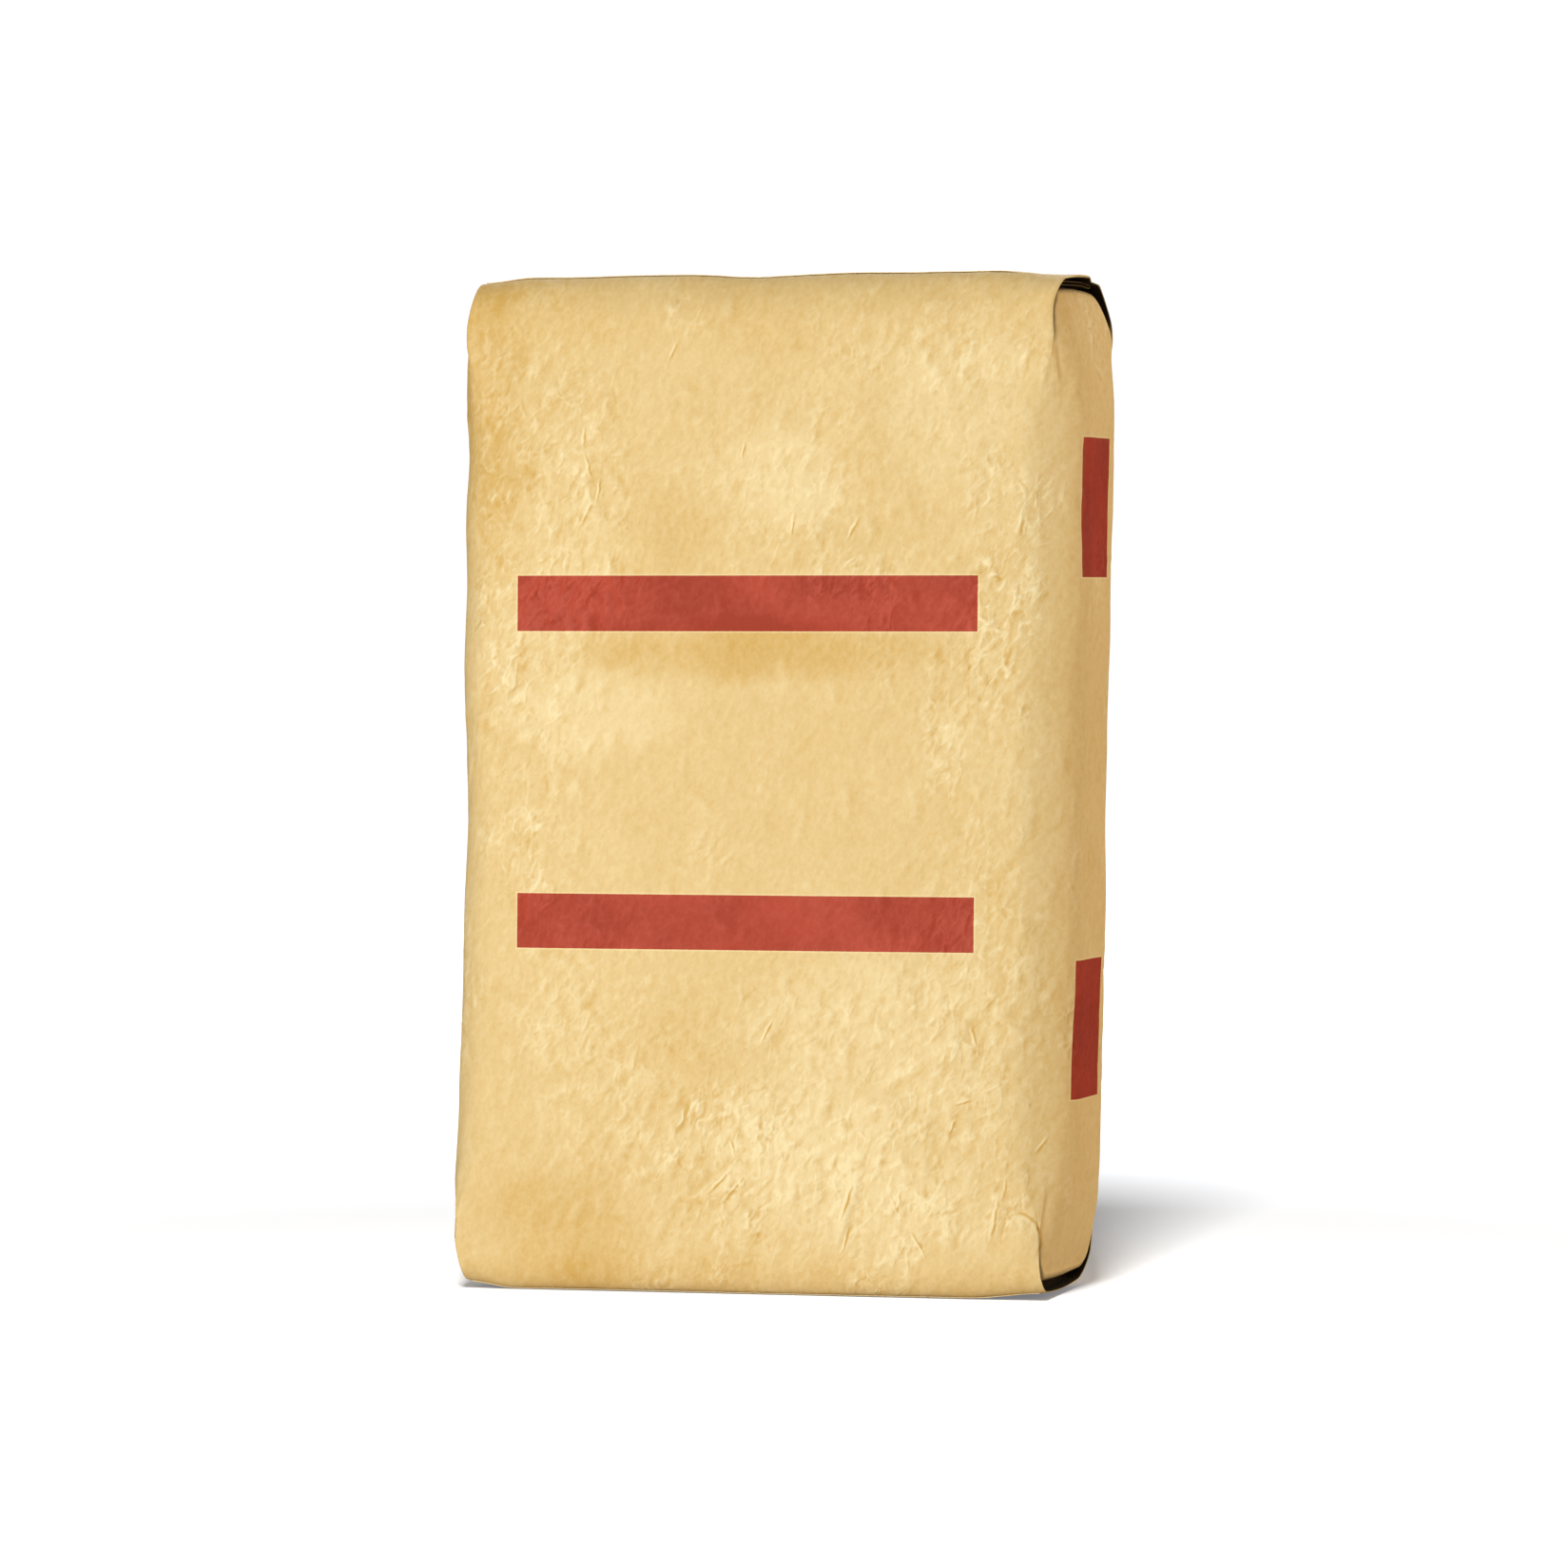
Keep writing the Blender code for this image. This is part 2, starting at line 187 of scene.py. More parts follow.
@dataclass(frozen=True)
class SackShape:
    """The driving sizes of the filled sack, as in the solids, and its uneven edges.

    tuck gives how far from each end a side is tucked in fully and where that starts, and shoulder
    how much longer a rounded edge is up the panel than across. The ear is the loose corner of the
    upper flap. Its measures run from the right edge, from the flap's free edge and from the top.
    middle_lift is a corner's lift at mid-thickness, as a share of the lift at the panels.
    """

    width: float = 0.375
    thickness: float = 0.135
    height: float = 0.640
    base: float = 0.0008
    bulge: float = 0.013
    left_waist: float = 0.0035
    crown: float = 0.004
    lean: float = 0.0135
    edge_radius: float = 0.015
    tuck: dict = field(default_factory=lambda: {End.TOP: (0.034, 0.096),
                                                End.BOTTOM: (0.032, 0.090)})
    shoulder: dict = field(default_factory=lambda: {End.TOP: 2.0, End.BOTTOM: 1.7})
    tongue_inset: float = 0.0015
    foot_arch: float = 0.0016
    tongue_reach: float = 0.085
    slot_depth: float = 0.016
    patch_width: float = 0.104
    patch_length: float = 0.368
    flap_edge: float = 0.020
    ear_rise: float = 0.0017
    ear_settle: float = 0.0008
    ear_power: float = 1.1
    ear_along: tuple = (0.062, 0.006)
    ear_edge: tuple = (-0.0010, 0.0022)
    ear_high: tuple = (0.012, 0.002)
    middle_lift: float = 0.45
    side_wave_from: float = 0.090
    side_wave_blur: float = 0.012
    top_wave_reach: float = 0.070
    top_wave_blur: float = 0.008
    edge_waves: dict = field(default_factory=lambda: {
        Side.LEFT: ((-0.32, 0.0006), (-0.300, 0.0010), (-0.265, 0.0030), (-0.228, -0.0006),
                    (-0.190, -0.0008), (-0.155, -0.0016), (-0.118, -0.0018), (-0.082, -0.0008),
                    (-0.046, -0.0020), (-0.010, -0.0022), (0.026, 0.0002), (0.062, 0.0016),
                    (0.098, -0.0002), (0.134, -0.0014), (0.170, -0.0002), (0.206, -0.0036),
                    (0.242, -0.0014), (0.278, 0.0004), (0.32, -0.0004)),
        Side.RIGHT: ((-0.32, 0.0), (-0.228, 0.0018), (-0.118, 0.0020), (-0.010, 0.0018),
                     (0.062, 0.0026), (0.098, 0.0036), (0.134, 0.0044), (0.170, 0.0040),
                     (0.206, 0.0046), (0.242, 0.0036), (0.278, 0.0018), (0.32, 0.0)),
    })
    top_waves: tuple = ((-0.190, -0.0008), (-0.150, -0.0011), (-0.080, -0.0012), (-0.040, -0.0013),
                        (-0.012, -0.0026), (0.012, -0.0028), (0.036, -0.0008), (0.060, -0.0002),
                        (0.085, -0.0010), (0.135, -0.0006), (0.160, 0.0006), (0.190, 0.0))
    corner_radius: dict = field(default_factory=lambda: {Side.LEFT: 0.031, Side.RIGHT: 0.040})
    corners: dict = field(default_factory=lambda: {
        (Side.LEFT, End.TOP): TuckedCorner(
            0.0040, 0.0045, 0.0, 0.0, 0.0050, 0.036, 0.0165, 0.017),
        (Side.LEFT, End.BOTTOM): TuckedCorner(
            0.0044, 0.0045, 0.0, 0.0, 0.0048, 0.032, 0.015, 0.015),
        (Side.RIGHT, End.TOP): TuckedCorner(
            -0.0012, 0.0056, 0.0054, 0.0018, 0.0050, 0.050, 0.0115, 0.0225),
        (Side.RIGHT, End.BOTTOM): TuckedCorner(
            -0.0012, 0.0012, 0.0022, -0.0034, 0.0050, 0.050, 0.013, 0.0175),
    })

    @property
    def half_width(self) -> float:
        """Half the width from lip to lip."""
        return self.width / 2.0

    @property
    def half_thickness(self) -> float:
        """Half the thickness at the block ends."""
        return self.thickness / 2.0

    @property
    def half_body(self) -> float:
        """Half the height between the two block ends."""
        return (self.height - 2.0 * self.base) / 2.0

    def side_bulge(self, side: Side, z: np.ndarray) -> np.ndarray:
        """How far a side stands out past the lips, with the left side's slight waist."""
        waist = self.left_waist if side is Side.LEFT else 0.0
        return self.bulge - waist * np.cos(0.5 * np.pi * z / self.half_body) ** 2

    def tucked(self, z: np.ndarray) -> np.ndarray:
        """1 near both ends, where the sides are tucked, and 0 along the middle.

        Args:
            z: Heights from the sack's middle.

        Returns:
            Numbers from 0 to 1.
        """
        within, beyond = (np.where(z >= 0.0, self.tuck[End.TOP][number],
                                   self.tuck[End.BOTTOM][number]) for number in (0, 1))
        return 1.0 - smooth_step(self.half_body - np.abs(z), within, beyond)

    def of_corners(self, side: Side, name: str, z: np.ndarray) -> np.ndarray:
        """A corner's value at a height: the top corner's above the middle, else the bottom one's.

        Args:
            side: Which side.
            name: Which of the corner's fields.
            z: Heights from the sack's middle.

        Returns:
            The value at each height.
        """
        top = getattr(self.corners[(side, End.TOP)], name)
        foot = getattr(self.corners[(side, End.BOTTOM)], name)
        return np.where(z >= 0.0, top, foot)

    def waves(self, x: np.ndarray, z: np.ndarray) -> tuple[np.ndarray, np.ndarray]:
        """The uneven line of the long edges and of the top edge.

        Args:
            x: Places along the width.
            z: Heights from the sack's middle.

        Returns:
            The shifts along X and Z.
        """
        reach = smooth_step(np.abs(x), self.side_wave_from, self.half_width)
        blur = self.side_wave_blur
        shift = np.zeros_like(x)
        for side in Side:
            places, values = np.array(self.edge_waves[side]).T
            near = np.interp(z, places, values) + np.interp(z - blur, places, values)
            near = (near + np.interp(z + blur, places, values)) / 3.0
            shift = shift + np.where(side.value * x > 0.0, side.value * near * reach, 0.0)
        places, values = np.array(self.top_waves).T
        blur = self.top_wave_blur
        rise = (np.interp(x - blur, places, values) + np.interp(x + blur, places, values)) / 2.0
        return shift, rise * smooth_step(z, self.half_body - self.top_wave_reach, self.half_body)

    def ear(self, x: np.ndarray, y: np.ndarray, z: np.ndarray) -> np.ndarray:
        """How far the loose corner of the upper flap stands up over the valve.

        Args:
            x: Places along the width.
            y: Places along the thickness.
            z: Heights from the sack's middle.

        Returns:
            Heights in metres.
        """
        start, full = self.ear_along
        along = smooth_step(x, self.half_width - start, self.half_width - full)
        free = np.clip((y + self.half_thickness) / (self.half_thickness + self.flap_edge), 0.0, 1.0)
        under, beyond = self.ear_edge
        over = 1.0 - smooth_step(y, self.flap_edge + under, self.flap_edge + beyond)
        low, top = self.ear_high
        high = smooth_step(z, self.half_body - low, self.half_body - top)
        rise = self.ear_rise * free**self.ear_power * over
        return along * high * (rise - self.ear_settle * (1.0 - over))

    def place(self, x: np.ndarray, y: np.ndarray, z: np.ndarray) -> np.ndarray:
        """Adds the panels' crown, the lifted corners, the lean and the height of the middle.

        Args:
            x: Places along the width.
            y: Places along the thickness.
            z: Heights from the sack's middle.

        Returns:
            Points, with a last axis of 3.
        """
        across = np.minimum(np.abs(x) / self.half_width, 1.0)
        along = np.minimum(np.abs(z) / self.half_body, 1.0)
        crown = self.crown * (1.0 - across**2) * (1.0 - along**4)
        lift = np.zeros_like(x)
        for side in Side:
            height = self.of_corners(side, "lift", z)
            reach = self.of_corners(side, "lift_reach", z)
            share = np.clip((side.value * x - self.half_width + reach) / reach, 0.0, 1.0)
            outwards = np.minimum(np.abs(y) / self.half_thickness, 1.0) ** 2
            drop = blend(self.middle_lift, 1.0, outwards)
            lift = lift + height * drop * share * share * (3.0 - 2.0 * share)
        y_out = y * (1.0 + crown / self.half_thickness)
        shift, rise = self.waves(x, z)
        z_out = z * (1.0 - lift / self.half_body) + rise
        x_out = x + self.lean * z_out + shift
        return np.stack([x_out, y_out, self.height / 2.0 + z_out], axis=-1)


SHAPE = SackShape()


@dataclass(frozen=True)
class RingPath:
    """How the rings of one side run: over the lip, through the slot and onto the side panel.

    Each of rows holds, in millimetres: the inset of a ring at mid-height, its inset from the panels
    and from the block end where the side is tucked, its place behind the lip there, and its corner
    radius. tongue_insets are the rings on the side panel, whose place comes from its own curve, and
    tongue_start holds the first ones' insets from the panels and the block end. rounding gives the
    side panel's corner radii at rounding_at. The first shoulder_rows lie on the broad panel,
    shoulder_step apart at mid-height, and lip_row is the fold. slot_floor is the deepest place
    behind the lip, closed_slot what is left of it where the slot has closed, and shade_from the
    rows between which the slot's painted shade sets in. tongue_shade is the painted shade on the
    side panel's first ring, at the slot's edge. Only the first flap_rows lift with the upper
    flap's ear.
    """

    rows: tuple = (
        (0.0, 0.0, 0.0, 33.5, 15.0),
        (0.0, 0.0, 0.0, 28.5, 15.0),
        (0.0, 0.0, 0.0, 23.5, 15.0),
        (0.0, 0.0, 0.0, 18.5, 15.0),
        (0.0, 0.0, 0.0, 13.6, 15.0),
        (0.0, 0.0, 0.0, 9.0, 15.0),
        (0.15, 0.03, 0.03, 5.2, 15.0),
        (0.55, 0.12, 0.12, 2.2, 15.0),
        (1.1, 0.38, 0.38, 0.5, 14.7),
        (1.8, 0.90, 0.90, 0.0, 14.2),
        (2.7, 1.45, 1.45, 0.5, 13.6),
        (3.8, 1.80, 1.80, 2.6, 13.2),
        (5.0, 1.92, 1.92, 5.6, 13.1),
        (6.4, 2.05, 2.20, 9.0, 13.3),
        (8.0, 2.50, 6.30, 9.2, 15.6),
        (9.7, 2.75, 6.90, 6.0, 16.6),
        (11.6, 3.05, 7.40, 3.0, 17.4),
    )
    tongue_insets: tuple = (14.0, 16.8, 19.8, 23.0, 26.3, 29.7, 33.1, 36.6, 40.1, 43.6, 47.1, 50.6,
                            54.1, 57.6, 61.0, 64.4, 67.5)
    tongue_start: tuple = ((3.6, 8.7), (6.2, 11.0), (10.0, 13.7), (14.4, 16.8))
    rounding_at: tuple = (14.0, 20.0, 30.0, 45.0, 67.5)
    rounding: tuple = (18.0, 16.0, 13.0, 8.5, 0.0)
    shoulder_rows: int = 6
    shoulder_step: float = 0.0028
    long_rows: float = 7.0
    lip_row: int = 9
    slot_floor: float = 9.0
    closed_slot: float = 0.25
    shade_from: tuple = (8.6, 9.8)
    tongue_shade: float = 0.45
    flap_rows: int = 13


@dataclass(frozen=True)
class Ring:
    """One ring of the loft, in millimetres.

    mid and front are its insets from the broad panels at mid-height and where the side is tucked,
    and end is its inset from the block ends. own_share is how far its corners take on the tucked
    corners' own radii, and long_share how far a rounded edge is as long up as it is across.
    """

    mid: float
    front: float
    end: float
    radius: float
    own_share: float
    long_share: float


@dataclass(frozen=True)
class RingCorner:
    """One rounded corner of a ring: its size across, its panel's Y and its size up the panel."""

    across: float
    edge: float
    long: float

    @property
    def flat(self) -> float:
        """The Y where the block end's flat stretch begins."""
        return self.edge - math.copysign(self.across, self.edge)


@dataclass(frozen=True)
class PlacedRing:
    """A ring's places before the crown, lean and waves are added, and the painted shade of its
    slot.
    """

    x: np.ndarray
    y: np.ndarray
    z: np.ndarray
    slot: np.ndarray


@dataclass(frozen=True)
class LoftGrid:
    """A lofted grid: rings along the first axis and stations round a ring along the second.

    open_paper is 1 outside the slots, slot_shade 1 where their dark is painted shade, and
    across is the distance round the sack from the middle of the front panel.
    """

    points: np.ndarray
    open_paper: np.ndarray
    slot_shade: np.ndarray
    across: np.ndarray


@dataclass(frozen=True)
class SackLoft:
    """Lofts the sack's skin as a grid of points.

    panel_rings counts the rings over the broad panels, levels the cells up a panel, end_cells the
    cells across a block end and arc_cells the cells round each long edge. Pairs such as slot_closes
    give distances from a block end, where a slot closes, deepens or gets its painted shade.
    lip_gaps are the gaps between a lip and the side panel at the end and where the slot has closed.
    """

    shape: SackShape
    panel_rings: int = 128
    levels: int = 180
    end_cells: int = 39
    arc_cells: int = 7
    path: RingPath = RingPath()
    panel_reach: float = 0.1425
    fullest_corner: float = 0.96
    slot_closes: tuple = (0.018, 0.040)
    slot_deepens: tuple = (0.028, 0.009)
    slot_painted_shade_reach: dict = field(default_factory=lambda: {End.TOP: (0.020, 0.044),
                                                     End.BOTTOM: (0.018, 0.036)})
    # the painted shade in the left side's slots is a little weaker, so they stay dark brown
    left_shade: float = 0.86
    flare_reach: float = 0.030
    tip_reach: float = 0.020
    lip_gaps: tuple = (0.0009, 0.0003)
    edge_reach: float = 0.030
    least_drop: float = 0.0010
    foot_arch_fades: tuple = (0.010, 0.045)
    foot_arch_half: float = 0.062
    flare_span: float = 1.6
    tip_power: float = 1.7
    plane_power: float = 2.2
    edge_power: float = 2.3
    bare_from: float = 1.25

    def _depth(self, ring: Ring, z: np.ndarray) -> np.ndarray:
        """How far a ring lies behind the broad panels at each height."""
        return blend(ring.mid, ring.front, self.shape.tucked(z)) * MM

    def _corner(self, side: Side, ring: Ring, end: End, back: bool) -> RingCorner:
        """One rounded corner of a ring.

        Args:
            side: The side whose corner radii the ring takes.
            ring: The ring.
            end: At which block end the corner lies.
            back: Whether it lies at the back.

        Returns:
            The corner.
        """
        shape = self.shape
        name, sign = ("round_back", 1.0) if back else ("round_front", -1.0)
        own = getattr(shape.corners[(side, end)], name) / shape.edge_radius
        radius = ring.radius * MM
        start = end.value * (shape.half_body - ring.end * MM - radius)
        edge = shape.half_thickness - float(self._depth(ring, np.array([start]))[0])
        across = min(radius * blend(1.0, own, ring.own_share), self.fullest_corner * edge)
        long = across * blend(shape.shoulder[end], 1.0, ring.long_share)
        return RingCorner(across, sign * edge, long)

    def _panel(self, ring: Ring, low: RingCorner, high: RingCorner,
               order: int) -> tuple[np.ndarray, np.ndarray]:
        """A ring's stretch up or down one broad panel.

        Args:
            ring: The ring.
            low: Its lower corner there.
            high: Its upper corner there.
            order: 1 upwards and -1 downwards.

        Returns:
            The Y and Z of each station.
        """
        top = self.shape.half_body - ring.end * MM
        steps = np.linspace(0.0, 1.0, self.levels + 1)
        z = blend(low.long - top, top - high.long, steps)[::order]
        inner = self.shape.half_thickness - self._depth(ring, z)
        return math.copysign(1.0, low.edge) * inner, z

    def _rounded(self, ring: Ring, corner: RingCorner, up: int,
                 order: int) -> tuple[np.ndarray, np.ndarray]:
        """A ring's stretch round one corner.

        Args:
            ring: The ring.
            corner: The corner.
            up: 1 at the top and -1 at the bottom.
            order: 1 from the panel to the block end and -1 back.

        Returns:
            The Y and Z of each station.
        """
        top = self.shape.half_body - ring.end * MM
        turned = (0.5 * np.pi * np.arange(1, self.arc_cells) / self.arc_cells)[::order]
        y = corner.edge - math.copysign(corner.across, corner.edge) * (1.0 - np.cos(turned))
        return y, up * (top - corner.long + corner.long * np.sin(turned))

    def _block_end(self, start: RingCorner, stop: RingCorner,
                   height: float) -> tuple[np.ndarray, np.ndarray]:
        """A ring's flat stretch across a block end.

        Args:
            start: The corner that it leaves.
            stop: The corner that it reaches.
            height: Its height from the sack's middle.

        Returns:
            The Y and Z of each station.
        """
        y = blend(start.flat, stop.flat, np.linspace(0.0, 1.0, self.end_cells + 1))
        return y, np.full(self.end_cells + 1, height)

    def _outline(self, side: Side, ring: Ring) -> tuple[np.ndarray, np.ndarray]:
        """One ring's places in the Y-Z plane, from the foot of the front panel.

        Args:
            side: The side whose corner radii the ring takes.
            ring: The ring.

        Returns:
            The Y and Z of each station.
        """
        front_top, back_top, back_foot, front_foot = (
            self._corner(side, ring, end, back) for end, back in
            ((End.TOP, False), (End.TOP, True), (End.BOTTOM, True), (End.BOTTOM, False)))
        top = self.shape.half_body - ring.end * MM
        stretches = (
            self._panel(ring, front_foot, front_top, 1),
            self._rounded(ring, front_top, 1, 1),
            self._block_end(front_top, back_top, top),
            self._rounded(ring, back_top, 1, -1),
            self._panel(ring, back_foot, back_top, -1),
            self._rounded(ring, back_foot, -1, 1),
            self._block_end(back_foot, front_foot, -top),
            self._rounded(ring, front_foot, -1, -1),
        )
        ys, zs = zip(*stretches)
        return np.concatenate(ys), np.concatenate(zs)

    def _corner_drop(self, side: Side, depth: np.ndarray) -> np.ndarray:
        """How far the rounded corner lies behind the side's plane, depth behind the panel.

        Args:
            side: Which side.
            depth: Distances behind the broad panel.

        Returns:
            Distances in metres.
        """
        radius = self.shape.corner_radius[side]
        inner = np.clip(radius - depth, 0.0, radius)
        return radius - np.sqrt(np.maximum(radius**2 - inner**2, 0.0))

    def _flare(self, side: Side, y: np.ndarray, z: np.ndarray) -> np.ndarray:
        """How far a lip stands out past the lip line: its tip, and its way to the rounded corner.

        Args:
            side: Which side.
            y: Places along the thickness.
            z: Heights from the sack's middle.

        Returns:
            Distances in metres.
        """
        shape = self.shape
        share = np.clip(0.5 + y / (self.flare_span * shape.half_thickness), 0.0, 1.0)
        most = blend(shape.of_corners(side, "flare_front", z),
                     shape.of_corners(side, "flare_back", z), share)
        tip = blend(shape.of_corners(side, "tip_front", z),
                    shape.of_corners(side, "tip_back", z), share)
        from_end = shape.half_body - np.abs(z)
        near = np.clip(1.0 - from_end / self.tip_reach, 0.0, 1.0) ** self.tip_power
        return most * smooth_step(from_end, 0.0, self.flare_reach) + tip * near

    def _tongue(self, side: Side, y: np.ndarray, z: np.ndarray) -> np.ndarray:
        """The side panel's place along X, from the slot to the middle of the side.

        Args:
            side: Which side.
            y: Places along the thickness.
            z: Heights from the sack's middle.

        Returns:
            Distances from the sack's middle plane.
        """
        shape = self.shape
        front, end = self.path.rows[-1][1] * MM, self.path.rows[-1][2] * MM
        from_end = shape.half_body - np.abs(z)
        share = np.clip((from_end - end) / shape.tongue_reach, 0.0, 1.0)
        bulge = shape.side_bulge(side, z)
        behind = (shape.tongue_inset + bulge) * (1.0 - share) ** self.plane_power
        plane = shape.half_width + bulge - behind
        depth = shape.half_thickness - np.abs(y)
        gap = blend(*self.lip_gaps, smooth_step(from_end, *self.slot_closes))
        need = np.maximum(plane - shape.half_width - self._flare(side, y, z) + gap, self.least_drop)
        near = np.clip(1.0 - (depth - front) / self.edge_reach, 0.0, 1.0) ** self.edge_power
        return plane - blend(self._corner_drop(side, depth), need * near, shape.tucked(z))

    def _slot_painted_shade(self, z: np.ndarray) -> np.ndarray:
        """1 where a slot gets its painted shade, which is near the ends.

        Args:
            z: Heights from the sack's middle.

        Returns:
            Numbers from 0 to 1.
        """
        from_end = self.shape.half_body - np.abs(z)
        return 1.0 - np.where(z >= 0.0, smooth_step(from_end, *self.slot_painted_shade_reach[End.TOP]),
                              smooth_step(from_end, *self.slot_painted_shade_reach[End.BOTTOM]))

    def _lip_ring(self, side: Side, number: int) -> PlacedRing:
        """A ring on the lip or in the slot.

        Args:
            side: Which side.
            number: The ring's row in the path.

        Returns:
            The ring.
        """
        shape, path = self.shape, self.path
        mid, front, end, back, radius = path.rows[number]
        ring = Ring(mid, front, end, radius, min(number / path.shoulder_rows, 1.0),
                    min(number / path.long_rows, 1.0))
        y, z = self._outline(side, ring)
        behind = back
        if number > path.lip_row:
            from_end = shape.half_body - np.abs(z)
            start, full = (shape.half_body - reach for reach in self.slot_deepens)
            deep = blend(1.0, shape.slot_depth / MM / path.slot_floor,
                         smooth_step(np.abs(z), start, full))
            opened = back * deep if number > path.lip_row + 1 else back
            shut = smooth_step(from_end, *self.slot_closes)
            behind = blend(min(back, path.closed_slot), opened, 1.0 - shut)
        lip = shape.half_width - behind * MM + self._flare(side, y, z)
        middle = shape.half_width + shape.side_bulge(side, z) - self._corner_drop(side, mid * MM)
        middle = middle - max(path.shoulder_rows - 1 - number, 0) * path.shoulder_step
        # painted shade on the slot rows, which the finish mixes in as a near black
        shade = np.interp(number, path.shade_from, (0.0, 1.0)) * self._slot_painted_shade(z)
        return PlacedRing(blend(middle, lip, shape.tucked(z)), y, z, shade)

    def _tongue_ring(self, side: Side, number: int) -> PlacedRing:
        """A ring on the side panel.

        Args:
            side: Which side.
            number: The ring's place in the path's tongue_insets.

        Returns:
            The ring.
        """
        shape, path = self.shape, self.path
        mid = path.tongue_insets[number]
        front, end = path.tongue_start[number] if number < len(path.tongue_start) else (mid, mid)
        rounding = np.interp(mid, path.rounding_at, path.rounding)
        y, z = self._outline(side, Ring(mid, front, end, rounding, 1.0, 1.0))
        x = self._tongue(side, y, z)
        if side is Side.RIGHT:
            near_foot = 1.0 - smooth_step(shape.half_body + z, *self.foot_arch_fades)
            middle = np.clip(1.0 - (y / self.foot_arch_half) ** 2, 0.0, 1.0)
            z = z + shape.foot_arch * near_foot * middle
        # painted shade on the side panel's first ring, at the slot's edge
        return PlacedRing(x, y, z, (0.0 if number else path.tongue_shade) * self._slot_painted_shade(z))

    def _side_rings(self, side: Side) -> list[PlacedRing]:
        """The rings from the broad panels to the middle of a side.

        Args:
            side: Which side.

        Returns:
            The rings, in that order.
        """
        lips = [self._lip_ring(side, number) for number in range(len(self.path.rows))]
        count = len(self.path.tongue_insets)
        return lips + [self._tongue_ring(side, number) for number in range(count)]

    def grid(self) -> LoftGrid:
        """Lofts the whole skin.

        Returns:
            The placed points, with the measures that the relief and the finish read.
        """
        shape = self.shape
        rings = [PlacedRing(-ring.x, ring.y, ring.z, self.left_shade * ring.slot)
                 for ring in reversed(self._side_rings(Side.LEFT))]
        panel = Ring(0.0, 0.0, 0.0, shape.edge_radius / MM, 0.0, 0.0)
        for place in np.linspace(-self.panel_reach, self.panel_reach, self.panel_rings):
            y, z = self._outline(Side.LEFT if place < 0 else Side.RIGHT, panel)
            rings.append(PlacedRing(np.full_like(y, place), y, z, np.zeros_like(y)))
        rings += self._side_rings(Side.RIGHT)
        x, y, z, slot = (np.array([getattr(ring, name) for ring in rings])
                         for name in ("x", "y", "z", "slot"))
        on_flap = np.ones((len(x), 1))
        inner = len(self.path.rows) + len(self.path.tongue_insets) - self.path.flap_rows
        on_flap[:inner] = on_flap[-inner:] = 0.0
        z = z + shape.ear(x, y, z) * on_flap
        step = np.hypot(np.diff(x, axis=0), np.diff(y, axis=0))
        run = np.concatenate([np.zeros((1, x.shape[1])), np.cumsum(step, axis=0)])
        across = run - run[len(x) // 2]
        left, right = across[0], across[-1]
        mirrored = np.where(across >= 0.0, 2.0 * right - across, 2.0 * left - across)
        across = np.where(y > 0.0, mirrored, across)
        bare = 1.0 - np.clip(slot * self.bare_from, 0.0, 1.0)
        return LoftGrid(shape.place(x, y, z), bare, slot, across)


def grid_normals(points: np.ndarray) -> np.ndarray:
    """Outward unit normals of a lofted grid.

    Args:
        points: Rings by stations by 3.

    Returns:
        Unit vectors of the same shape.
    """
    along = np.gradient(points, axis=0)
    around = np.roll(points, -1, axis=1) - np.roll(points, 1, axis=1)
    normal = np.cross(around, along)
    length = np.linalg.norm(normal, axis=-1, keepdims=True)
    return -normal / np.maximum(length, LEAST_LENGTH)


def only_active(obj: bpy.types.Object) -> None:
    """Selects one object alone and makes it active.

    Args:
        obj: The object.
    """
    bpy.ops.object.select_all(action="DESELECT")
    obj.select_set(True)
    bpy.context.view_layer.objects.active = obj


def grid_primitive(name: str, columns: int, rows: int) -> bpy.types.Object:
    """Adds a flat grid of columns by rows points.

    Args:
        name: The new object's name.
        columns: Points along X.
        rows: Points along Y.

    Returns:
        The object, selected alone.
    """
    bpy.ops.object.select_all(action="DESELECT")
    bpy.ops.mesh.primitive_grid_add(x_subdivisions=columns - 1, y_subdivisions=rows - 1, size=1.0)
    obj = bpy.context.object
    obj.name = name
    obj.data.name = name
    only_active(obj)
    return obj


def grid_places(obj: bpy.types.Object, columns: int, rows: int) -> tuple[np.ndarray, np.ndarray]:
    """Each point's column and row on a grid from grid_primitive that still lies flat.

    Args:
        obj: The grid.
        columns: Its points along X.
        rows: Its points along Y.

    Returns:
        The column and the row of each point.
    """
    flat = np.empty(len(obj.data.vertices) * 3)
    obj.data.vertices.foreach_get("co", flat)
    share = flat.reshape(-1, 3) + 0.5
    return (np.rint(share[:, 0] * (columns - 1)).astype(int),
            np.rint(share[:, 1] * (rows - 1)).astype(int))


def shape_grid(obj: bpy.types.Object, points: np.ndarray) -> None:
    """Moves each point of a flat grid to its place.

    Args:
        obj: A grid from grid_primitive.
        points: Columns by rows by 3.
    """
    obj.data.vertices.foreach_set("co", points[grid_places(obj, *points.shape[:2])].ravel())
    obj.data.update()


def point_values(obj: bpy.types.Object, name: str, values: np.ndarray) -> None:
    """Stores one number a point on a grid from grid_primitive, before it is shaped.

    Args:
        obj: The grid, whose points still lie flat.
        name: The attribute's name.
        values: Columns by rows.
    """
    made = obj.data.attributes.new(name, "FLOAT", "POINT")
    made.data.foreach_set("value", values[grid_places(obj, *values.shape)].astype(np.float32))


def closed(values: np.ndarray) -> np.ndarray:
    """The values with each ring's first station repeated at its end."""
    return np.concatenate([values, values[:, :1]], axis=1)


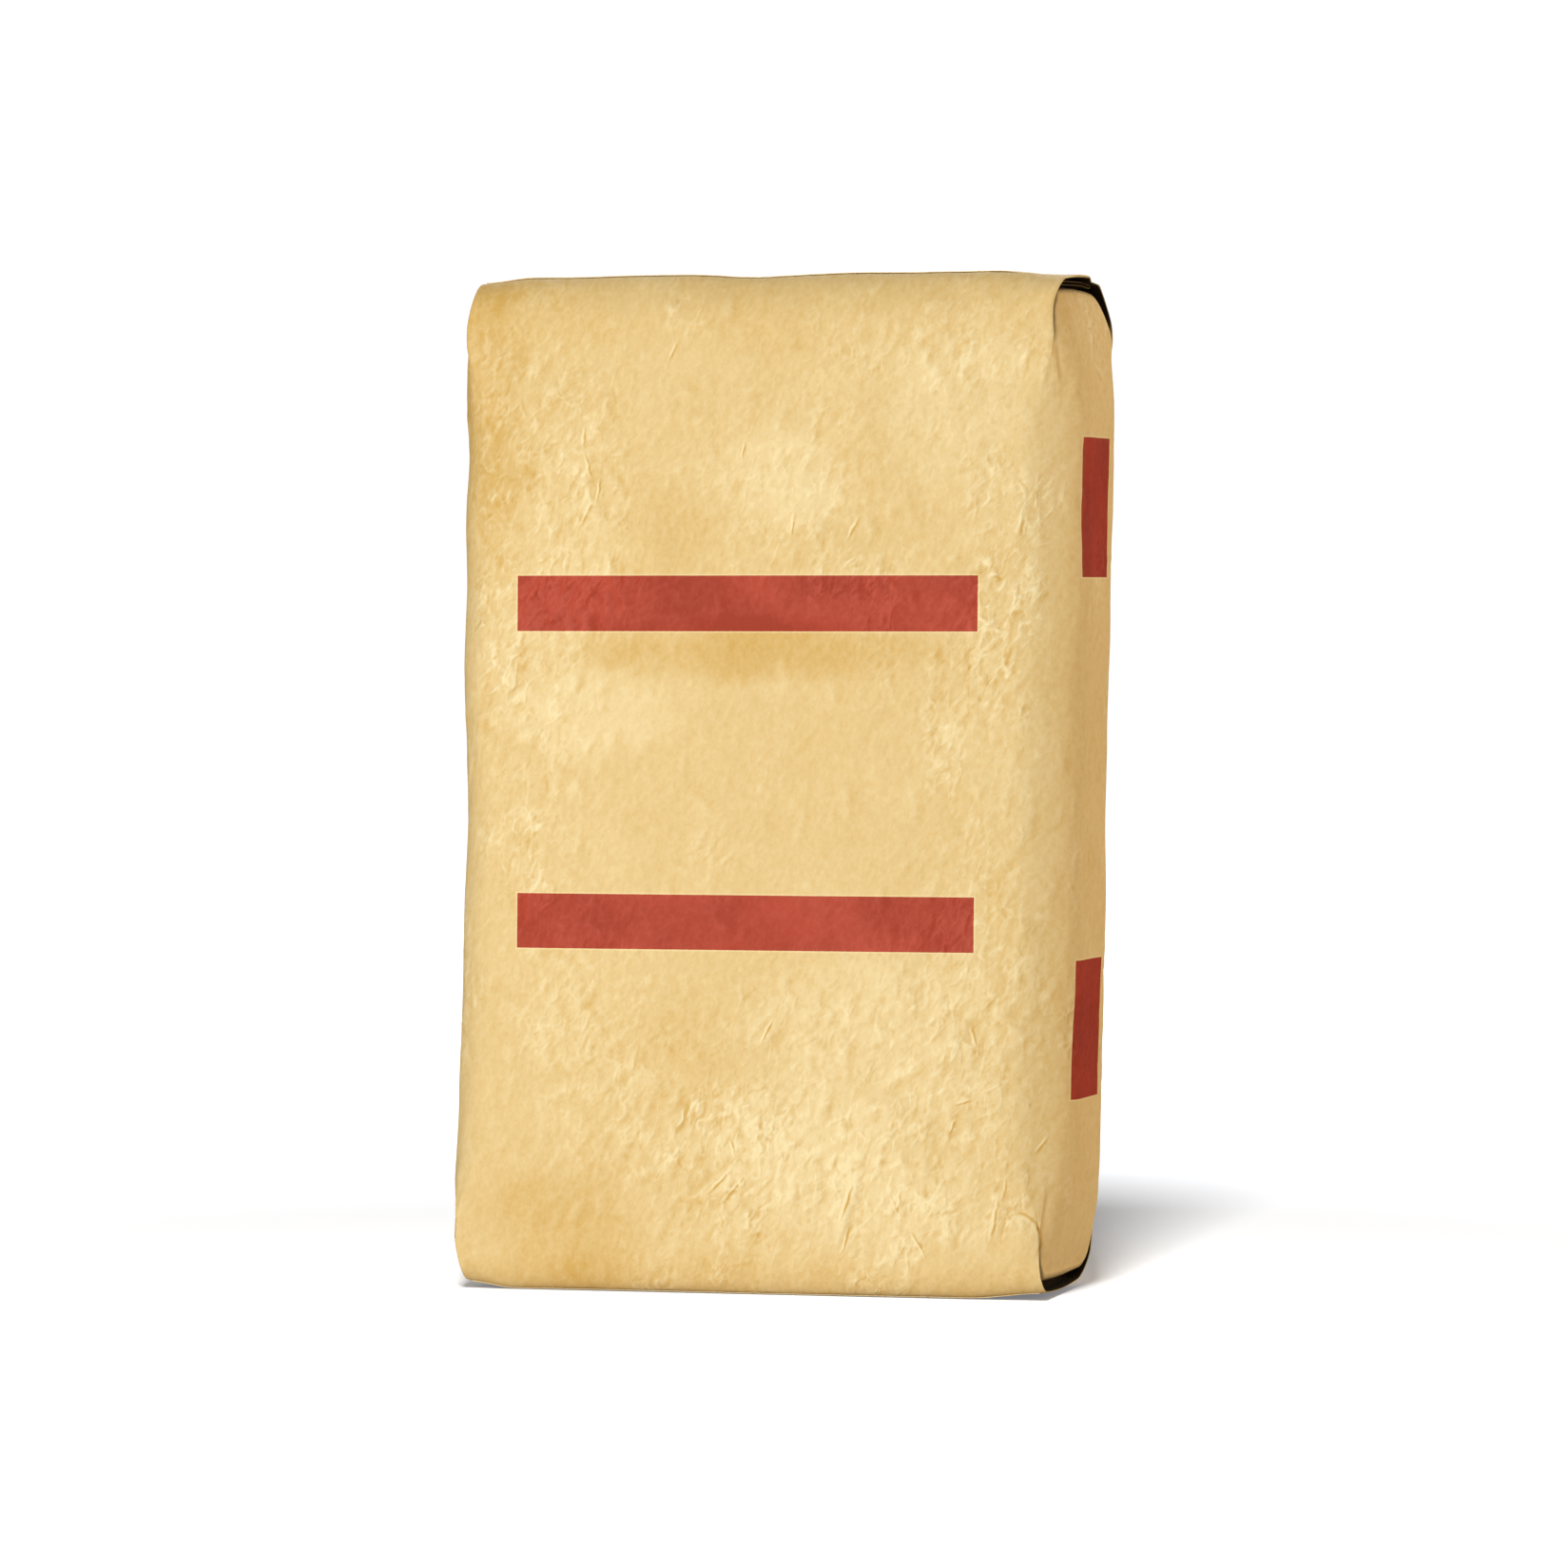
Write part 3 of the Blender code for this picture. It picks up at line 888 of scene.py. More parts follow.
def weld(obj: bpy.types.Object) -> None:
    """Merges the points that lie together and turns every face outwards.

    Args:
        obj: A grid that has its final places.
    """
    only_active(obj)
    bpy.ops.object.mode_set(mode="EDIT")
    bpy.ops.mesh.select_all(action="SELECT")
    bpy.ops.mesh.remove_doubles(threshold=WELD_REACH)
    bpy.ops.mesh.normals_make_consistent(inside=False)
    bpy.ops.object.mode_set(mode="OBJECT")


@dataclass(frozen=True)
class Crease:
    """One crease of the paper: a line on a panel, with a ridge beside a valley.

    at and height place its middle, turn is its lean to the right in degrees, bend its bow and rise
    the ridge's height.
    """

    at: float
    height: float
    length: float
    turn: float
    bend: float
    width: float
    rise: float


@dataclass
class CreaseField:
    """Adds many creases to the skin, in the sack's unrolled plane.

    across is the distance round the sack from the middle of the front panel, and height the height
    above the floor. The valley's place and width are in widths of the ridge. ridge keeps each
    crease's ridge less its valley, where the finish paints a highlight on the ridge and shade in
    the valley beside it.
    """

    across: np.ndarray
    height: np.ndarray
    margin: float = 4.0
    valley_place: float = 1.5
    valley_width: float = 1.1
    valley_depth: float = 0.75

    def __post_init__(self) -> None:
        """Starts with a level relief."""
        self.relief = np.zeros_like(self.across)
        self.ridge = np.zeros_like(self.across)

    def add(self, crease: Crease) -> None:
        """Adds one crease to the relief.

        Args:
            crease: The crease.
        """
        half = 0.5 * crease.length
        reach = half + self.margin * crease.width
        near = np.abs(self.across - crease.at) < reach
        near &= np.abs(self.height - crease.height) < reach
        if not near.any():
            return
        dx = self.across[near] - crease.at
        dz = self.height[near] - crease.height
        turned = math.radians(crease.turn)
        along = dz * math.cos(turned) + dx * math.sin(turned)
        off = dx * math.cos(turned) - dz * math.sin(turned)
        share = along / half
        off = off - crease.bend * (1.0 - share**2)
        taper = np.clip(1.0 - share**2, 0.0, 1.0) ** 1.5
        ridge = np.exp(-((off / crease.width) ** 2))
        beside = (off - self.valley_place * crease.width) / (self.valley_width * crease.width)
        valley = np.exp(-(beside**2))
        self.relief[near] += crease.rise * taper * (ridge - self.valley_depth * valley)
        # the ridge measure: pale on the ridge and dark in the valley beside it, painted highlight
        # and shade
        self.ridge[near] += crease.rise * taper * (ridge - valley)


@dataclass(frozen=True)
class Puff:
    """A spot where the paper stands off the powder, with a crease round its upper rim.

    at and height place its middle, half_across and half_up are its half sizes, rise is its height
    and rim the crease's depth. The other measures are shares of its half sizes.
    """

    at: float
    height: float
    half_across: float
    half_up: float
    rise: float
    rim: float
    body_fades: tuple = (0.35, 1.05)
    rim_from: tuple = (-0.35, 0.25)
    rim_place: float = 1.06
    rim_width: float = 0.13

    def relief(self, across: np.ndarray, height: np.ndarray) -> np.ndarray:
        """The puff's own relief at each point.

        Args:
            across: The distance round the sack from the middle of the front panel.
            height: The height above the floor.

        Returns:
            Heights in metres.
        """
        dx = (across - self.at) / self.half_across
        dz = (height - self.height) / self.half_up
        reach = np.hypot(dx, dz)
        body = 1.0 - smooth_step(reach, *self.body_fades)
        upper = smooth_step(dz, *self.rim_from)
        rim = np.exp(-(((reach - self.rim_place) / self.rim_width) ** 2))
        return self.rise * body - self.rim * upper * rim


@dataclass(frozen=True)
class Unevenness:
    """Smooth noise in the paper's surface: its seed, its period along each axis and its height."""

    seed: int
    period: tuple
    height: float

    def relief(self, points: np.ndarray) -> np.ndarray:
        """The noise at each point.

        Args:
            points: Places, with X, Y and Z along the last axis.

        Returns:
            Heights in metres, without that last axis.
        """
        made = PaperNoise(self.seed).layers(points.reshape(-1, 3), self.period, 2)
        return self.height * made.reshape(points.shape[:-1])


@dataclass(frozen=True)
class CreaseCluster:
    """A patch of the paper where creases crowd together: its middle, its spreads and their rise."""

    at: float
    height: float
    spread_across: float
    spread_up: float
    count: int
    rise: float
    turn: float = 0.0


@dataclass(frozen=True)
class SackRelief:
    """The uneven surface of the paper over the powder."""

    swell: Unevenness = Unevenness(11, (0.105, 0.105, 0.125), 0.0011)
    dent: Unevenness = Unevenness(23, (0.034, 0.034, 0.050), 0.00045)
    ripple: Unevenness = Unevenness(37, (0.010, 0.010, 0.021), 0.00018)
    crumpled: Unevenness = Unevenness(91, (0.040, 0.040, 0.056), 1.0)
    crumple_steps: tuple = (0.25, 1.05)
    crumple_share: float = 0.70
    cluster_spread: float = 1.25
    cluster_share: float = 900.0
    cluster_rises: tuple = (0.5, 1.2)
    scattered: int = 900
    half_round: float = 0.51
    lengths: tuple = (0.010, 0.034)
    widths: tuple = (0.0019, 0.0034)
    turns: tuple = (4.0, 24.0)
    bends: tuple = (0.0, 0.0016)
    rises: tuple = (0.00008, 0.00042)
    full_ridge: float = 0.0006
    calm_centre: tuple = (-0.01, 0.330)
    calm_across: tuple = (0.080, 0.130)
    calm_up: tuple = (0.070, 0.120)
    calm_relief: float = 0.45
    calm_crumple: float = 0.5
    clusters: tuple = (
        CreaseCluster(-0.110, 0.480, 0.018, 0.050, 26, 0.00050, 4.0),
        CreaseCluster(-0.098, 0.150, 0.026, 0.040, 20, 0.00045, 10.0),
        CreaseCluster(-0.024, 0.078, 0.030, 0.022, 24, 0.00050, 35.0),
        CreaseCluster(0.060, 0.070, 0.034, 0.034, 24, 0.00050, 8.0),
        CreaseCluster(0.125, 0.150, 0.030, 0.050, 26, 0.00050, 12.0),
        CreaseCluster(0.026, 0.170, 0.030, 0.020, 14, 0.00045, 20.0),
        CreaseCluster(0.022, 0.505, 0.034, 0.030, 26, 0.00045, 10.0),
        CreaseCluster(0.150, 0.430, 0.020, 0.090, 26, 0.00028, 25.0),
        CreaseCluster(0.120, 0.590, 0.060, 0.020, 26, 0.00040, 30.0),
        CreaseCluster(-0.140, 0.350, 0.020, 0.080, 22, 0.00045, 6.0),
        CreaseCluster(0.150, 0.200, 0.020, 0.060, 22, 0.00034, 30.0),
        CreaseCluster(-0.150, 0.565, 0.026, 0.036, 24, 0.00042, 4.0),
        CreaseCluster(-0.176, 0.480, 0.012, 0.070, 16, 0.00040, 2.0),
    )
    puffs: tuple = (
        Puff(0.1738, 0.0375, 0.0125, 0.0170, 0.0019, 0.0008),
        Puff(0.0850, 0.1050, 0.0330, 0.0260, 0.0010, 0.0002),
        Puff(-0.0200, 0.1450, 0.0300, 0.0240, 0.0008, 0.0002),
        Puff(0.0350, 0.1750, 0.0260, 0.0200, 0.0008, 0.0002),
        Puff(-0.0950, 0.1050, 0.0260, 0.0300, 0.0008, 0.0002),
        Puff(0.1250, 0.1500, 0.0220, 0.0300, 0.0008, 0.0002),
    )
    marked: tuple = (
        Crease(0.0620, 0.0560, 0.050, 18.0, 0.0010, 0.0030, 0.00100),
        Crease(0.1560, 0.0500, 0.044, 9.0, 0.0010, 0.0030, 0.00080),
        Crease(-0.0180, 0.0700, 0.036, 40.0, 0.0010, 0.0030, 0.00080),
        Crease(0.0120, 0.1670, 0.026, 29.0, 0.0010, 0.0028, 0.00060),
    )

    def field(self, grid: LoftGrid, seed: int) -> tuple[np.ndarray, np.ndarray]:
        """The relief along the normal and the share of each point that lies on a ridge.

        Args:
            grid: The lofted skin.
            seed: Sets the scattered creases.

        Returns:
            The relief in metres and the ridge measure from -1 to 1, both rings by stations.
        """
        points, across = grid.points, grid.across
        height = points[..., 2]
        creases = CreaseField(across, height)
        draw = np.random.default_rng(seed)
        for _ in range(self.scattered):
            creases.add(self._scattered(draw, draw.uniform(-self.half_round, self.half_round),
                                        draw.uniform(0.0, SHAPE.height)))
        for cluster in self.clusters:
            for _ in range(cluster.count):
                at = draw.normal(cluster.at, cluster.spread_across)
                up = draw.normal(cluster.height, cluster.spread_up)
                made = self._scattered(draw, at, up)
                rise = cluster.rise * draw.uniform(*self.cluster_rises)
                creases.add(replace(made, turn=made.turn + cluster.turn, rise=rise))
        for crease in self.marked:
            creases.add(crease)
        calm = blend(1.0, self.calm_relief, self._calm(across, height))
        relief = self.swell.relief(points) + self.dent.relief(points) * calm
        relief = relief + self.ripple.relief(points) * calm + creases.relief * calm
        for puff in self.puffs:
            relief = relief + puff.relief(across, height)
        return relief, np.clip(creases.ridge / self.full_ridge, -1.0, 1.0)

    def crumple(self, grid: LoftGrid) -> np.ndarray:
        """How crumpled the paper is at each point.

        Args:
            grid: The lofted skin.

        Returns:
            Numbers from 0 to 1, rings by stations.
        """
        height = grid.points[..., 2]
        spread, calm = self.cluster_spread, self._calm(grid.across, height)
        total = self.crumple_share * smooth_step(self.crumpled.relief(grid.points),
                                                 *self.crumple_steps)
        for cluster in self.clusters:
            dx = (grid.across - cluster.at) / (spread * cluster.spread_across)
            dz = (height - cluster.height) / (spread * cluster.spread_up)
            total = total + self.cluster_share * cluster.rise * np.exp(-0.5 * (dx**2 + dz**2))
        return np.clip(total * blend(1.0, self.calm_crumple, calm), 0.0, 1.0)

    def _calm(self, across: np.ndarray, height: np.ndarray) -> np.ndarray:
        """1 in the smooth middle of the front panel, between the bars, and 0 away from it.

        Args:
            across: The distance round the sack from the middle of the front panel.
            height: The height above the floor.

        Returns:
            Numbers from 0 to 1.
        """
        at, up = self.calm_centre
        sideways = 1.0 - smooth_step(np.abs(across - at), *self.calm_across)
        return sideways * (1.0 - smooth_step(np.abs(height - up), *self.calm_up))

    def _scattered(self, draw: np.random.Generator, at: float, up: float) -> Crease:
        """A crease of ordinary size at a place, mostly upright.

        Args:
            draw: The source of the random numbers.
            at: Its distance round the sack from the middle of the front panel.
            up: Its height above the floor.

        Returns:
            The crease.
        """
        length = draw.uniform(*self.lengths)
        width = draw.uniform(*self.widths)
        return Crease(at, up, length, draw.normal(*self.turns), draw.normal(*self.bends), width,
                      draw.uniform(*self.rises))


@dataclass(frozen=True)
class EndRelief:
    """The relief of a block end: its folded flaps' overlap and the dents of the powder.

    overlap is the Y of the upper flap's free edge, step its height there, edge the run of the step
    before and beyond it, dents the height of the dents and pressed the depth of the whole end.
    """

    end: End
    overlap: float
    step: float
    dents: float
    edge: tuple = (0.0015, 0.0025)
    seed: int = 51
    period: tuple = (0.060, 0.042, 1.0)
    level: float = 0.9
    pressed: float = 0.0007

    def at(self, x: np.ndarray, y: np.ndarray) -> np.ndarray:
        """The relief at each place.

        Args:
            x: Places along the width.
            y: Places along the thickness.

        Returns:
            Heights in metres, outwards from the end.
        """
        before, beyond = self.edge
        step = 1.0 - smooth_step(y, self.overlap - before, self.overlap + beyond)
        flat = np.stack([x, y, np.full_like(x, self.level * self.end.value)], axis=-1)
        dents = Unevenness(self.seed, self.period, self.dents).relief(flat)
        return self.step * step + dents - self.pressed


END_RELIEF = {
    End.TOP: EndRelief(End.TOP, SHAPE.flap_edge, 0.0007, 0.0009),
    End.BOTTOM: EndRelief(End.BOTTOM, 0.005, 0.00035, 0.0001),
}


class Tree:
    """Adds nodes to a node tree."""

    def __init__(self, tree: bpy.types.NodeTree) -> None:
        """Keeps the tree."""
        self.tree = tree

    def link(self, source: bpy.types.NodeSocket, target: bpy.types.NodeSocket) -> None:
        """Joins two sockets."""
        self.tree.links.new(source, target)

    def feed(self, node: bpy.types.Node, feeds: dict) -> None:
        """Gives each named input a value, or joins it to another socket.

        Args:
            node: The node.
            feeds: A value or an output socket for each input, by its name or number.
        """
        for name, value in feeds.items():
            if isinstance(value, bpy.types.NodeSocket):
                self.link(value, node.inputs[name])
            else:
                node.inputs[name].default_value = value

    def node(self, kind: str, feeds: dict | None = None, **settings: object) -> bpy.types.Node:
        """Adds a node, sets its properties and feeds its inputs.

        Args:
            kind: The node's type, without its first word ShaderNode.
            feeds: A value or an output socket for each input, by its name or number.
            settings: Its properties by name.

        Returns:
            The node.
        """
        made = self.tree.nodes.new("ShaderNode" + kind)
        for name, value in settings.items():
            setattr(made, name, value)
        self.feed(made, feeds or {})
        return made

    def parts(self, vector: object) -> tuple:
        """A vector's X, Y and Z."""
        return tuple(self.node("SeparateXYZ", {0: vector}).outputs)

    def mapped(self, vector: object, scale: Sequence[float],
               at: Sequence[float] = (0.0, 0.0, 0.0), lean: float = 0.0,
               kind: str = "TEXTURE") -> object:
        """A place measured from a point, in its own directions and sizes.

        Args:
            vector: The place.
            scale: The unit along each of its directions.
            at: The point.
            lean: How far its upright direction leans to the right, in degrees.
            kind: The kind of mapping.

        Returns:
            The vector socket.
        """
        feeds = {"Vector": vector, "Location": at, "Scale": scale,
                 "Rotation": (0.0, math.radians(lean), 0.0)}
        return self.node("Mapping", feeds, vector_type=kind).outputs["Vector"]

    def noise(self, vector: object, scale: float, detail: float = 2.0, rough: float = 0.5,
              warp: float = 0.0, output: str = "Fac") -> object:
        """A noise texture.

        Args:
            vector: The place.
            scale: Its scale.
            detail: Its detail.
            rough: Its roughness.
            warp: Its distortion.
            output: Which of its outputs is used.

        Returns:
            That output socket.
        """
        feeds = {"Vector": vector, "Scale": scale, "Detail": detail, "Roughness": rough,
                 "Distortion": warp}
        return self.node("TexNoise", feeds).outputs[output]

    def sum(self, kind: str, *values: object) -> object:
        """A Math node's result for one operation on its values."""
        return self.node("Math", dict(enumerate(values)), operation=kind).outputs[0]

    def map(self, value: object, low: float, high: float, to_low: object = 0.0,
            to_high: object = 1.0, smooth: bool = True) -> object:
        """Maps a range of values to another, with clamping.

        Args:
            value: The value.
            low: Where the range starts.
            high: Where it ends.
            to_low: The result at its start.
            to_high: The result at its end.
            smooth: Whether the result eases in and out.

        Returns:
            The value socket.
        """
        feeds = {"Value": value, "From Min": low, "From Max": high, "To Min": to_low,
                 "To Max": to_high}
        return self.node("MapRange", feeds, clamp=True,
                         interpolation_type="SMOOTHSTEP" if smooth else "LINEAR").outputs["Result"]

    def away(self, value: object, centre: float) -> object:
        """How far a value lies from a centre."""
        return self.sum("ABSOLUTE", self.sum("SUBTRACT", value, centre))

    def peak(self, value: object, centre: float, half: float, height: float = 1.0) -> object:
        """A soft peak: its height at the centre and 0 from half a width away."""
        return self.map(self.away(value, centre), half, 0.0, 0.0, height)

    def tint(self, factor: object, a: object, b: object, how: str = "MIX") -> object:
        """Mixes two colours.

        Args:
            factor: The second colour's share.
            a: The first colour.
            b: The second colour.
            how: The way of mixing.

        Returns:
            The colour socket.
        """
        feeds = {"Factor": factor}
        for name, colour in (("A", a), ("B", b)):
            fixed = not isinstance(colour, bpy.types.NodeSocket)
            feeds[name] = (*colour, 1.0) if fixed else colour
        return self.node("Mix", feeds, data_type="RGBA", blend_type=how).outputs["Result"]


class Dress(Tree):
    """Builds the node tree of one finish."""

    def __init__(self, name: str) -> None:
        """Makes a material with a Principled shader.

        Args:
            name: The material's name.
        """
        self.material = bpy.data.materials.new(name)
        self.material.use_nodes = True
        super().__init__(self.material.node_tree)
        self.place = self.node("TexCoord").outputs["Object"]

    def attribute(self, name: str) -> object:
        """The mesh's own number a point."""
        made = self.node("Attribute", attribute_name=name, attribute_type="GEOMETRY")
        return made.outputs["Fac"]

    def on_front(self, value: object) -> object:
        """A value on the front panel, and 0 elsewhere."""
        front = self.sum("LESS_THAN", self.parts(self.place)[1], FRONT_FROM)
        return self.sum("MULTIPLY", value, front)

    def bump(self, height: object, strength: float, distance: float,
             under: object = None) -> object:
        """A bump from a height, over another bump if one is given.

        Args:
            height: The height.
            strength: The bump's strength.
            distance: The height's unit in metres.
            under: The bump below it.

        Returns:
            The normal socket.
        """
        feeds = {"Strength": strength, "Distance": distance, "Height": height}
        if under is not None:
            feeds["Normal"] = under
        return self.node("Bump", feeds).outputs["Normal"]

    def finish(self, feeds: dict) -> bpy.types.Material:
        """Feeds the shader's inputs, by their names, and gives the material."""
        self.feed(self.tree.nodes["Principled BSDF"], feeds)
        return self.material


@dataclass(frozen=True)
class PaintedFoldLine:
    """One sharp fold painted in colour on the front panel: its middle, length, lean in degrees,
    width and strength.

    It is a painted highlight on its ridge with painted shade in the hollow beside it, both
    measured in the fold's width.
    """

    across: float
    height: float
    length: float
    lean: float
    width: float
    strength: float
    ridge: tuple = (0.0, 1.3)
    hollow: tuple = (1.7, 1.3, 1.15)
    taper: tuple = (1.0, 0.2)

    def value(self, d: Dress, place: object) -> object:
        """The fold's painted highlight and shade: 1 on its ridge and below 0 in the hollow beside
        it.

        Args:
            d: The node tree being built.
            place: The place on the sack.

        Returns:
            The value socket.
        """
        off, _, along = d.parts(d.mapped(place, (self.width, 1.0, 0.5 * self.length),
                                         (self.across, 0.0, self.height), self.lean))
        fold = d.sum("SUBTRACT", d.peak(off, *self.ridge), d.peak(off, *self.hollow))
        taper = d.map(d.sum("ABSOLUTE", along), *self.taper, 0.0, self.strength)
        return d.sum("MULTIPLY", fold, taper)


@dataclass(frozen=True)
class PaintedFoldArch:
    """A fold painted in colour round the upper rim of a puffed spot on the front panel: a painted
    highlight on its ridge inside and painted shade in the hollow outside.

    ridge and hollow hold a place and a half width in the spot's half sizes, and a height. upper
    gives where the arch starts and is full, measured up and to the right, and right where it ends.
    """

    across: float
    height: float
    half_across: float
    half_up: float
    strength: float
    ridge: tuple = (0.90, 0.12, 0.6)
    hollow: tuple = (1.06, 0.085, 1.3)
    rightward: float = 1.3
    upper: tuple = (-0.1, 1.5)
    right: tuple = (1.24, 1.12)

    def value(self, d: Dress, place: object) -> object:
        """The fold's painted highlight and shade.

        Args:
            d: The node tree being built.
            place: The place on the sack.

        Returns:
            The value socket.
        """
        x, _, z = d.parts(d.mapped(place, (self.half_across, 1.0, self.half_up),
                                   (self.across, 0.0, self.height)))
        reach = d.sum("SQRT", d.sum("ADD", d.sum("MULTIPLY", x, x), d.sum("MULTIPLY", z, z)))
        fold = d.sum("SUBTRACT", d.peak(reach, *self.ridge), d.peak(reach, *self.hollow))
        upper = d.map(d.sum("ADD", z, d.sum("MULTIPLY", x, self.rightward)), *self.upper, 0.0,
                      self.strength)
        return d.sum("MULTIPLY", fold, d.sum("MULTIPLY", upper, d.map(x, *self.right)))


@dataclass(frozen=True)
class PaintedSheenShadePatch:
    """A soft patch of the front panel, paler with painted sheen where its tone is above 0 and
    darker
    with painted shade where it is below: its middle, half sizes, lean and tone.
    """

    across: float
    height: float
    half_across: float
    half_up: float
    lean: float
    tone: float
    uneven: float = 1.6
    edge: float = 1.25

    def value(self, d: Dress, wobbly: object) -> object:
        """The patch's tone.

        Args:
            d: The node tree being built.
            wobbly: A noise that makes the patch's edge uneven.

        Returns:
            The value socket.
        """
        x, _, z = d.parts(d.mapped(d.place, (self.half_across, 1.0, self.half_up),
                                   (self.across, 0.0, self.height), self.lean))
        reach = d.sum("ADD", d.sum("MULTIPLY", x, x), d.sum("MULTIPLY", z, z))
        wobble = d.sum("MULTIPLY", d.sum("SUBTRACT", wobbly, 0.5), self.uneven)
        return d.map(d.sum("ADD", reach, wobble), self.edge, 0.0, 0.0, self.tone)


@dataclass(frozen=True)
class PrintedBar:
    """A plain printed bar: its centre and half sizes on its panel, and its slope, X over Z."""

    across: float
    height: float
    half_across: float
    half_height: float
    slope: float = 0.0

    def beyond(self, d: Dress, place: object, z: object) -> object:
        """How far a point lies beyond the bar's edge, negative inside it.

        Args:
            d: The node tree being built.
            place: The point's place across the panel.
            z: Its height.

        Returns:
            The value socket.
        """
        if self.slope:
            above = d.sum("SUBTRACT", z, self.height)
            place = d.sum("SUBTRACT", place, d.sum("MULTIPLY", above, self.slope))
        sideways = d.sum("SUBTRACT", d.away(place, self.across), self.half_across)
        return d.sum("MAXIMUM", sideways,
                     d.sum("SUBTRACT", d.away(z, self.height), self.half_height))


class Crinkle(Enum):
    """The kinds of crinkle in the paper: soft dents, short strokes and a net of joined ridges."""

    SOFT = 0
    STROKE = 1
    NET = 2


@dataclass(frozen=True)
class PaperLayer:
    """One layer of the paper's crinkles: features of one size, which lie along one direction.

    size is a feature's width in metres, stretch its length over its width and lean its slope to the
    right in degrees. height is in millimetres. tone is its share in the paper's light and dark;
    where the layer has height, this paints the raised places paler and the low ones darker, a
    painted highlight and painted shade over the bumps. hollow is the share of the painted shade
    beside each raised place, which lies to its right. crowd is how far the layer keeps to the
    places where the paper is crumpled most, and least what is left of it elsewhere. depth is a
    feature's size along Y over its width, and beside_way the direction of the painted shade.
    net_bends holds the scale and detail of the noise that bends the net, and its share.
    """

    kind: Crinkle
    size: float
    stretch: float
    lean: float
    detail: float
    warp: float
    height: float
    tone: float
    hollow: float = 0.0
    crowd: float = 0.0
    seed: float = 0.0
    least: float = 0.05
    depth: float = 2.0
    beside_way: tuple = (1.0, 2.0, -0.4)
    strokes: tuple = (0.55, 0.88)
    net_bends: tuple = (1.6, 1.0, 0.9)
    net_ridge: float = 0.17
    net_scale: float = 0.9
    net_patches: tuple = (0.40, 0.66)
    net_beside: float = 0.11
    stroke_beside: float = 0.42

    @property
    def beside(self) -> float:
        """How far the painted shade lies beside the raised place, in metres."""
        return (self.net_beside if self.kind is Crinkle.NET else self.stroke_beside) * self.size

    def wave(self, d: Dress, crowded: object, beside: float = 0.0) -> object:
        """The layer's crinkles: about -0.5 to 0.5 when soft, and 0 to 1 when it has strokes.

        Args:
            d: The node tree being built.
            crowded: 1 where the paper is crumpled most and 0 where it is smooth.
            beside: How far to the right the whole layer is moved, in metres.

        Returns:
            The value socket.
        """
        sizes = (self.size, self.size * self.depth, self.size * self.stretch)
        place = d.mapped(d.place, sizes, [self.seed + way * beside for way in self.beside_way],
                         self.lean)
        if self.kind is Crinkle.NET:
            wave = self._net(d, place)
        else:
            wave = d.noise(place, 1.0, self.detail, 0.5, self.warp)
            stroke = self.kind is Crinkle.STROKE
            wave = d.map(wave, *self.strokes) if stroke else d.sum("SUBTRACT", wave, 0.5)
        if not self.crowd:
            return wave
        share = d.sum("MULTIPLY_ADD", crowded, self.crowd, 1.0 - self.crowd + self.least)
        return d.sum("MULTIPLY", wave, share)

    def _net(self, d: Dress, place: object) -> object:
        """A net of joined ridges, in patches.

        Args:
            d: The node tree being built.
            place: The place on the sack.

        Returns:
            The value socket.
        """
        scale, detail, bend = self.net_bends
        feeds = {0: d.noise(place, scale, detail, output="Color"), 1: (bend, bend, bend), 2: place}
        shift = d.node("VectorMath", feeds, operation="MULTIPLY_ADD").outputs["Vector"]
        cells = d.node("TexVoronoi", {"Vector": shift, "Scale": 1.0}, feature="DISTANCE_TO_EDGE")
        ridges = d.map(cells.outputs["Distance"], self.net_ridge, 0.0)
        patches = d.map(d.noise(place, self.net_scale, 0.0), *self.net_patches)
        return d.sum("MULTIPLY", ridges, patches)


CRINKLES = (
    PaperLayer(Crinkle.SOFT, 0.0400, 1.3, 30.0, 1.0, 0.3, 0.0, 0.40, 0.0, 0.5, 21.0),
    PaperLayer(Crinkle.SOFT, 0.0240, 1.8, 14.0, 1.0, 0.3, 1.70, 0.10),
    PaperLayer(Crinkle.SOFT, 0.0100, 1.9, 18.0, 1.0, 0.4, 1.10, 0.20, 0.0, 0.6),
    PaperLayer(Crinkle.SOFT, 0.0050, 1.6, 22.0, 0.0, 0.5, 0.50, 0.40, 0.28, 0.45),
    PaperLayer(Crinkle.SOFT, 0.0026, 1.3, 12.0, 0.0, 0.4, 0.14, 0.34, 0.0, 0.2),
    PaperLayer(Crinkle.SOFT, 0.0012, 1.3, 30.0, 0.0, 0.0, 0.0, 0.18),
    PaperLayer(Crinkle.STROKE, 0.0048, 2.8, 16.0, 0.0, 1.1, 0.40, 0.74, 0.52, 1.0, 3.1),
    PaperLayer(Crinkle.STROKE, 0.0042, 2.5, 44.0, 0.0, 1.1, 0.30, 0.62, 0.44, 1.0, 7.7),
    PaperLayer(Crinkle.NET, 0.0110, 1.5, 20.0, 0.0, 0.0, 0.30, 0.52, 0.40, 1.0, 12.3),
)
